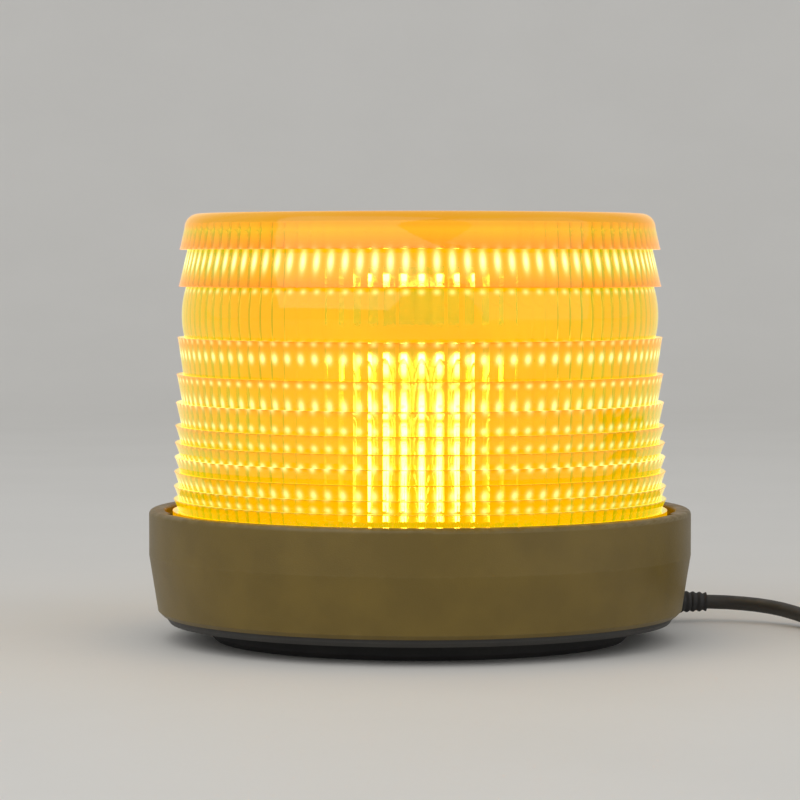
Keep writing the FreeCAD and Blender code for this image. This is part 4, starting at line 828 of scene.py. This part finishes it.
def ring_row():
    """Rounded rings along the Z axis, growing or shrinking evenly from first to last."""
    tree, given, out = shape_tree("ring_row", [
        ("Count", INTEGER, 8), ("Spacing", FLOAT, 0.003), ("First radius", FLOAT, 0.01),
        ("Last radius", FLOAT, 0.008), ("Thickness", FLOAT, 0.0008),
    ])
    section = circle(tree, over(tree, given["Thickness"], given["First radius"]), WIRE_SIDES)
    ring = swept(tree, circle(tree, 1.0, 48), section, caps=False)
    step = result(tree, "ShaderNodeCombineXYZ", {"Z": given["Spacing"]})
    places = result(tree, "GeometryNodeMeshLine", {"Count": given["Count"], "Offset": step})
    last = larger(tree, minus(tree, given["Count"], 1.0), 1.0)
    share = over(tree, result(tree, "GeometryNodeInputIndex"), last)
    growth = minus(tree, given["Last radius"], given["First radius"])
    radius = sums(tree, "MULTIPLY_ADD", growth, share, given["First radius"])
    row = result(tree, "GeometryNodeInstanceOnPoints", {
        "Points": places, "Instance": smoothed(tree, ring), "Scale": radius,
    })
    return finish_tree(tree, given, out, row)


def ribbed_sleeve():
    """A tapering sleeve that follows part of a route, waisted between its ribs."""
    tree, given, out = shape_tree("ribbed_sleeve", [
        ("Route", OBJECT, None), ("Start", FLOAT, 0.008), ("End", FLOAT, 0.03),
        ("First radius", FLOAT, 0.004), ("Last radius", FLOAT, 0.003), ("Ribs", INTEGER, 8),
        ("Rib depth", FLOAT, 0.0004), ("Steps per rib", INTEGER, 8),
    ])
    route = add(tree, "GeometryNodeObjectInfo", {"Object": given["Route"]}).outputs["Geometry"]
    line = result(tree, "GeometryNodeMeshToCurve", {"Mesh": route})
    part = result(tree, "GeometryNodeTrimCurve", {0: line, 4: given["Start"], 5: given["End"]},
                  mode="LENGTH")
    steps = sums(tree, "MULTIPLY_ADD", given["Ribs"], given["Steps per rib"], 1.0)
    fine = result(tree, "GeometryNodeResampleCurve", {"Curve": part, "Count": steps})
    share = add(tree, "GeometryNodeSplineParameter").outputs["Factor"]
    shrink = minus(tree, given["Last radius"], given["First radius"])
    taper = sums(tree, "MULTIPLY_ADD", shrink, share, given["First radius"])
    turn = times(tree, share, given["Ribs"], math.tau)
    wave = times(tree, sums(tree, "COSINE", turn), 0.5)
    radius = sums(tree, "MULTIPLY_ADD", wave, given["Rib depth"], taper)
    sleeve = swept(tree, fine, circle(tree, 1.0, 32), scale=radius)
    return finish_tree(tree, given, out, smoothed(tree, sleeve))


def tie_band():
    """A flat strap round a bundle, with rounded corners and a head that locks it."""
    tree, given, out = shape_tree("tie_band", [
        ("Across", FLOAT, 0.03), ("Up", FLOAT, 0.009), ("Corner", FLOAT, 0.004),
        ("Strap width", FLOAT, 0.0036), ("Strap thickness", FLOAT, 0.001),
        ("Head", FLOAT, 0.005), ("Head share", FLOAT, 0.8), ("Head aside", FLOAT, 0.2),
    ])
    bend = result(tree, "GeometryNodeFilletCurve", {
        "Curve": oblong(tree, given["Across"], given["Up"]), "Radius": given["Corner"],
        "Limit Radius": True, "Count": 8,
    }, mode="POLY")
    section = oblong(tree, given["Strap thickness"], given["Strap width"])
    strap = swept(tree, bend, section, caps=False)
    size = result(tree, "ShaderNodeCombineXYZ", {
        "X": given["Head"], "Y": times(tree, given["Head"], given["Head share"]),
        "Z": given["Head"],
    })
    block = result(tree, "GeometryNodeMeshCube", {
        "Size": size, "Vertices X": 3, "Vertices Y": 3, "Vertices Z": 3})
    aside = result(tree, "ShaderNodeCombineXYZ", {
        "X": times(tree, given["Across"], given["Head aside"]), "Y": times(tree, given["Up"], 0.5)})
    head = result(tree, "GeometryNodeTransform", {"Geometry": block, "Translation": aside})
    both = add(tree, "GeometryNodeJoinGeometry")
    for piece in (strap, head):
        tree.links.new(piece, both.inputs[0])
    return finish_tree(tree, given, out, both.outputs[0])


# Lens: clear amber plastic, lit through

GLOW_STRENGTH = 2.0
GLOW_BODY = (0.27, 0.235, 0.0)
GLOW_TIP = (0.40, 0.13, 0.0)
GLOW_TOP = (0.39, 0.18, 0.0)
GLOW_SPOT = (0.75, 0.85, 0.30)
OUTSIDE_RADIUS = BASE_RADIUS - 11.7
TOP_SKIN = 1.5
TOP_BLEND = (5.5, 3.5)
TOOTH_BLEND = (1.0, 2.3)
SPOT_WIDTH = 0.2
PATCH_SHARE = 0.25
LENS_ROUGHNESS = 0.02
LENS_DUST = 0.4
LENS_DUST_DULLING = 0.5
# Each row of spots: its height and half its height in millimetres, and its strength
LIT_ROWS = [
    (111.6, 2.5, 1.0), (103.1, 0.7, 0.35), (88.6, 0.7, 0.3), (84.4, 1.3, 0.75),
    (77.0, 0.7, 0.45), (71.2, 1.6, 0.65), (64.6, 0.9, 0.55), (59.6, 0.9, 0.5),
    (54.1, 1.0, 0.55), (46.7, 1.2, 0.55), (42.6, 0.8, 0.4),
]


def amber_lens():
    """Amber plastic that the lamp lights through: glow, brighter spots in rows, orange edges."""
    made, tree, shader, spot = material("amber_lens", (1.0, 0.38, 0.03), LENS_ROUGHNESS, IOR=1.49,
                                        Transmission_Weight=1.0, Emission_Strength=GLOW_STRENGTH)
    place = xyz(tree, spot)
    height = over(tree, place["Z"], MM)
    radius = over(tree, from_axis(tree, place), MM)
    turn = over(tree, sums(tree, "ARCTAN2", place["Y"], place["X"]), math.tau)
    across = sums(tree, "FRACT", times(tree, plus(tree, turn, 1.0), FLUTES))
    rows = [used(tree, LIT_ROW, Height=height, Across_flute=across, Middle=middle,
                 Half_height=half, Half_width=SPOT_WIDTH, Strength=strength)["Mask"]
            for middle, half, strength in LIT_ROWS]
    outside = larger(tree, sums(tree, "GREATER_THAN", radius, OUTSIDE_RADIUS),
                     sums(tree, "GREATER_THAN", height, LENS_TOP - TOP_SKIN))
    facing = minus(tree, 1.0, add(tree, "ShaderNodeNewGeometry").outputs["Backfacing"])
    root_radius = plus(tree, BASE_RADIUS - ROOT_INSET,
                       times(tree, minus(tree, FOCUS, height), ROOT_DRAFT))
    toothed = ramp(tree, minus(tree, radius, root_radius), *TOOTH_BLEND)
    glow = mixed(tree, toothed, GLOW_BODY, GLOW_TIP)
    top = ramp(tree, height, LENS_TOP - TOP_BLEND[0], LENS_TOP - TOP_BLEND[1])
    glow = mixed(tree, top, glow, GLOW_TOP)
    patches = used(tree, GRAIN, Place=spot, Grain_per_metre=1200.0, Depth=0.000006)
    glow = mixed(tree, times(tree, patches["Cloud"], PATCH_SHARE), glow, GLOW_TIP)
    glow = mixed(tree, smaller(tree, plus(tree, *rows), 1.0), glow, GLOW_SPOT)
    glow = mixed(tree, times(tree, outside, facing), (0.0, 0.0, 0.0), glow)
    dust = used(tree, DUST, Place=spot, Amount=LENS_DUST)["Mask"]
    fill(tree, shader.inputs, Emission_Color=glow,
         Roughness=plus(tree, LENS_ROUGHNESS, times(tree, dust, LENS_DUST_DULLING)),
         Normal=patches["Normal"])
    return made


def make_lens(finish):
    """The prism lens, and the lugs that lock it under the base's lip."""
    outline = polyline("lens_outline", lens_outline())
    lens = grown("prism_lens", fluted_turning(), Outline=outline, Flutes=FLUTES,
                 Columns_per_flute=8, Flute_depth=FLUTE_DEPTH * MM, Sharp_angle=0.6,
                 Merge_distance=MERGE_WITHIN * MM, Finish=finish)
    bpy.data.objects.remove(outline)
    reach = BASE_RADIUS - RIM_WALL - 2 * LUG_CLEARANCE
    inner = LENS_FOOT_RADIUS - LUG_CLEARANCE
    middle = RIM_HEIGHT - LIP_THICKNESS - LUG_CLEARANCE - LUG_THICKNESS / 2
    lugs = grown("lens_lugs", lug_ring(), moved(0, 0, middle), Count=LUGS,
                 Middle_radius=(reach + inner) / 2 * MM, Width=(reach - inner) * MM,
                 Height=LUG_THICKNESS * MM, Arc_angle=math.radians(LUG_ANGLE),
                 First_angle=math.radians(LUG_FIRST), Finish=finish)
    fitted(lens, "lens", "amber_lens", "lens")
    fitted(lugs, "lens", "amber_lens")


make_lens(amber_lens())


# Small wound and ribbed pieces, in millimetres

FILAMENT_LENGTH = 7.0
FILAMENT_TURNS = 15
FILAMENT_RADIUS = 0.42
FILAMENT_WIRE = 0.13
SUPPORT_FOOT = 1.4
SUPPORT_WIRE = 0.2
SPRING_TURNS = 5.0
SPRING_WIRE = 0.3
RELIEF_START = 8.6
RELIEF_END = 29.0
RELIEF_RADII = (3.9, 2.75)
RELIEF_RIBS = 10
RELIEF_RIB_DEPTH = 0.45
# Each row of plug rings: name, way along the plug, count, spacing, two end radii, thickness
PLUG_RINGS = [
    ("plug_grips", 31.0, 6, 2.3, 12.0, 12.0, 0.5),
    ("plug_sleeve_ribs", 0.9, 4, 2.2, 3.4, 4.4, 0.6),
]
RING_SINK = 0.3
TIE_ANGLE = -20
TIE_BOTTOM = 0.45
TIE_ROOM = 0.4
TIE_WIDTH = 3.6
TIE_THICKNESS = 0.8
TIE_CORNER = 2.2
TIE_HEAD = 5.0


def rod(name, ends, radius, finish):
    """A straight round wire between two ends."""
    data = bpy.data.curves.new(name, "CURVE")
    data.dimensions = "3D"
    data.bevel_depth = radius * MM
    data.use_fill_caps = True
    spline = data.splines.new("POLY")
    spline.points.add(1)
    for point, end in zip(spline.points, ends):
        point.co = (*(v * MM for v in end), 1)
    maker = bpy.data.objects.new(name, data)
    scene.collection.objects.link(maker)
    mesh = bpy.data.meshes.new_from_object(maker)
    bpy.data.objects.remove(maker)
    piece = bpy.data.objects.new(name, mesh)
    mesh.materials.append(finish)
    scene.collection.objects.link(piece)
    return piece


def make_filament(finish):
    """The glowing coil and the two wires that hold its ends."""
    half = FILAMENT_LENGTH / 2
    coil = grown("filament_coil", coiled_wire(), moved(-half, 0, LAMP_HEIGHT) @ turned(90, "Y"),
                 Turns=FILAMENT_TURNS, Radius=FILAMENT_RADIUS * MM, Height=FILAMENT_LENGTH * MM,
                 Wire_radius=FILAMENT_WIRE * MM, Steps_per_turn=18, Finish=finish)
    fitted(coil, "base", "filament", "bulb_filament")
    foot = low("bulb_filament", 2)
    for side in (-1, 1):
        ends = [(side * SUPPORT_FOOT, 0, foot), (side * half, 0, LAMP_HEIGHT)]
        wire = rod(f"filament_wire_{side + 1}", ends, SUPPORT_WIRE, finish)
        fitted(wire, "base", "filament")


def make_contact_spring(finish):
    """The spring under the lamp's contact, from end to end of the room kept for it."""
    bottom, top = low("contact_spring", 2), high("contact_spring", 2)
    spring = grown("contact_spring_wire", coiled_wire(), moved(0, 0, bottom + SPRING_WIRE),
                   Turns=SPRING_TURNS, Radius=(high("contact_spring", 0) - SPRING_WIRE) * MM,
                   Height=(top - bottom - 2 * SPRING_WIRE) * MM, Wire_radius=SPRING_WIRE * MM,
                   Steps_per_turn=24, Finish=finish)
    fitted(spring, "base", "steel", "contact_spring")


def make_strain_relief(finish):
    """The ribbed, tapering sleeve that keeps the lead from kinking at the base."""
    line = lead_line()
    relief = grown("strain_relief", ribbed_sleeve(), Route=line, Start=RELIEF_START * MM,
                   End=RELIEF_END * MM, First_radius=RELIEF_RADII[0] * MM,
                   Last_radius=RELIEF_RADII[1] * MM, Ribs=RELIEF_RIBS,
                   Rib_depth=RELIEF_RIB_DEPTH * MM, Steps_per_rib=8, Finish=finish)
    bpy.data.objects.remove(line)
    fitted(relief, "base", "rubber")


def make_plug_grips(finish):
    """Grip rings round the body of the plug, and the ribs of its cord sleeve."""
    x, y, z = PLUG_ROUTE[-1]
    pieces = []
    for name, along, count, spacing, first, last, thick in PLUG_RINGS:
        row = grown(name, ring_row(), moved(x, y + along, z) @ turned(-90, "X"), Count=count,
                    Spacing=spacing * MM, First_radius=(first - RING_SINK) * MM,
                    Last_radius=(last - RING_SINK) * MM, Thickness=thick * MM, Finish=finish)
        pieces.append(fitted(row, "base", "black_plastic"))
    return pieces


def make_coil_tie(finish):
    """The strap that holds the put-away turns together."""
    angle = math.radians(TIE_ANGLE)
    across = 2 * COIL_ACROSS * CORD_RADIUS + 2 * TIE_ROOM
    top = 4 * CORD_RADIUS + TIE_ROOM
    middle = moved(COIL_MIDDLE[0] + COIL_RADIUS * math.cos(angle),
                   COIL_MIDDLE[1] + COIL_RADIUS * math.sin(angle), (top + TIE_BOTTOM) / 2)
    tie = grown("coil_tie", tie_band(), middle @ turned(TIE_ANGLE, "Z") @ turned(90, "X"),
                Across=across * MM, Up=(top - TIE_BOTTOM) * MM, Corner=TIE_CORNER * MM,
                Strap_width=TIE_WIDTH * MM, Strap_thickness=TIE_THICKNESS * MM,
                Head=TIE_HEAD * MM, Head_share=0.8, Head_aside=0.2, Finish=finish)
    return fitted(tie, "base", "black_plastic")


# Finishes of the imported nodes

cover_plastic = grained("cover_plastic", (0.024, 0.022, 0.019), (0.034, 0.031, 0.026),
                        roughness=0.42, spread=0.18, grain=1900.0, depth=0.00006).made
plug_plastic = grained("plug_plastic", (0.026, 0.025, 0.024), (0.036, 0.034, 0.032),
                       roughness=0.36, spread=0.16, grain=2600.0, depth=0.00004, dust=0.25).made
soft_rubber = grained("soft_rubber", (0.024, 0.023, 0.022), (0.033, 0.031, 0.029),
                      roughness=0.6, spread=0.2, grain=1800.0, depth=0.00004, dust=0.2).made
sheath = grained("cord_sheath", (0.028, 0.025, 0.021), (0.040, 0.035, 0.028),
                 roughness=0.42, spread=0.18, grain=900.0, depth=0.00005, dust=0.3).made
insulation = grained("core_insulation", (0.42, 0.018, 0.014), (0.52, 0.03, 0.02),
                     roughness=0.38, spread=0.1, grain=1800.0, depth=0.00001).made
pressed_board = grained("phenolic_board", (0.26, 0.12, 0.05), (0.34, 0.17, 0.075),
                        roughness=0.45, spread=0.15, grain=2600.0, depth=0.00002).made
ferrite = grained("ferrite", (0.070, 0.070, 0.074), (0.105, 0.103, 0.105),
                  roughness=0.62, spread=0.25, grain=1500.0, depth=0.00005).made
zinc_plate = grained("zinc_plate", (0.62, 0.63, 0.66), (0.50, 0.52, 0.54), roughness=0.26,
                     spread=0.2, grain=900.0, depth=0.00002, metallic=1.0).made
die_cast = grained("die_cast_zinc", (0.56, 0.56, 0.58), (0.44, 0.44, 0.46), roughness=0.40,
                   spread=0.2, grain=1300.0, depth=0.00004, metallic=1.0).made
turned_steel = turned_metal("turned_steel", (0.58, 0.58, 0.60), (0.46, 0.46, 0.47),
                            roughness=0.24, rings=6000.0, depth=0.000015)
brass = turned_metal("turned_brass", (0.78, 0.57, 0.25), (0.60, 0.42, 0.17),
                     roughness=0.22, rings=6000.0, depth=0.00001)
white_nylon = nylon()
glass = clear_glass()
filament = hot_filament()
FINISHES = {
    "base_housing": base_plastic(), "bottom_cover": cover_plastic, "cover_screws": zinc_plate,
    "rubber_foot": foot_rubber(), "magnet_pot": zinc_plate, "magnet_ring": ferrite,
    "magnet_bolt": zinc_plate, "magnet_nut": zinc_plate, "lens_gasket": soft_rubber,
    "lamp_post": die_cast, "post_screws": zinc_plate, "thrust_washer": white_nylon,
    "retaining_clip": turned_steel, "ring_gear": white_nylon, "reflector": reflector_finish(),
    "reflector_bracket": zinc_plate, "bracket_screws": zinc_plate, "motor_can": turned_steel,
    "motor_end_cap": cover_plastic, "motor_terminals": brass, "motor_screws": zinc_plate,
    "motor_shaft": turned_steel, "pinion": brass, "socket_shell": brass,
    "socket_insulator": pressed_board, "socket_contact": brass, "contact_spring": zinc_plate,
    "bulb_cap": brass, "bulb_glass": glass, "bulb_stem": glass, "bulb_filament": filament,
    "terminal_block": white_nylon, "terminal_screws": zinc_plate, "supply_cores": insulation,
    "motor_leads": insulation, "lamp_lead": insulation, "cord_gland": soft_rubber,
    "supply_cord": sheath, "cord_coil": sheath, "plug_cord": sheath, "plug_shell": plug_plastic,
    "plug_nose": plug_plastic, "plug_side_contacts": zinc_plate, "plug_tip": brass,
}
for name, finish in FINISHES.items():
    for slot in parts[name].material_slots:
        slot.material = finish

make_filament(filament)
make_contact_spring(zinc_plate)
make_strain_relief(soft_rubber)
plug_rings = make_plug_grips(plug_plastic)
coil_tie = make_coil_tie(plug_plastic)
supply_lead = make_cord(sheath)
fitted(supply_lead, "base", "cord_sheath", "supply_cord", "cord_coil", "plug_cord")


# Pale floor that curves up behind, and soft studio light, in metres

FLOOR_HALF = 3.5
FLOOR_FRONT = -3.0
FLOOR_FLAT = 0.5
FLOOR_BACK = 1.4
BEND_RADIUS = 1.2
BEND_STEPS = 24
WALL_TOP = 3.0
LAMP_AIM = Vector((0, 0, 0.07))


def make_sweep():
    """A floor that bends up into a backdrop behind the beacon."""
    line = [(FLOOR_FRONT, 0.0), (-FLOOR_FLAT, 0.0), (FLOOR_FLAT, 0.0)]
    for step in range(BEND_STEPS + 1):
        turn = math.radians(90 * step / BEND_STEPS)
        line.append((FLOOR_BACK + BEND_RADIUS * math.sin(turn), BEND_RADIUS * (1 - math.cos(turn))))
    line.append((FLOOR_BACK + BEND_RADIUS, WALL_TOP))
    mesh = bpy.data.meshes.new("pale_sweep")
    points = [(side * FLOOR_HALF, y, z) for y, z in line for side in (-1, 1)]
    faces = [(2 * n, 2 * n + 1, 2 * n + 3, 2 * n + 2) for n in range(len(line) - 1)]
    mesh.from_pydata(points, [], faces)
    for face in mesh.polygons:
        face.use_smooth = True
    sweep = bpy.data.objects.new("pale_sweep", mesh)
    scene.collection.objects.link(sweep)
    mesh.materials.append(grained("pale_floor", (0.74, 0.72, 0.68), (0.725, 0.705, 0.665),
                                  roughness=0.62, spread=0.1, grain=300.0, depth=0.0001).made)


def soft_lamp(name, place, power, size):
    """A square soft box that points at the beacon."""
    data = bpy.data.lights.new(name, "AREA")
    data.energy = power
    data.size = size
    lamp = bpy.data.objects.new(name, data)
    lamp.location = place
    lamp.rotation_euler = (LAMP_AIM - Vector(place)).to_track_quat("-Z", "Y").to_euler()
    scene.collection.objects.link(lamp)


def make_room():
    """The room's own pale light, and two lamps."""
    world = bpy.data.worlds.new("soft_room")
    scene.world = world
    world.use_nodes = True
    background = world.node_tree.nodes["Background"]
    background.inputs["Color"].default_value = (0.95, 0.97, 1.0, 1)
    background.inputs["Strength"].default_value = 0.55
    soft_lamp("key_light", place=(-1.1, -1.2, 1.5), power=20.0, size=2.6)
    soft_lamp("fill_light", place=(1.4, -0.9, 0.9), power=7.0, size=2.2)


make_sweep()
make_room()
scene.view_settings.view_transform = "Standard"
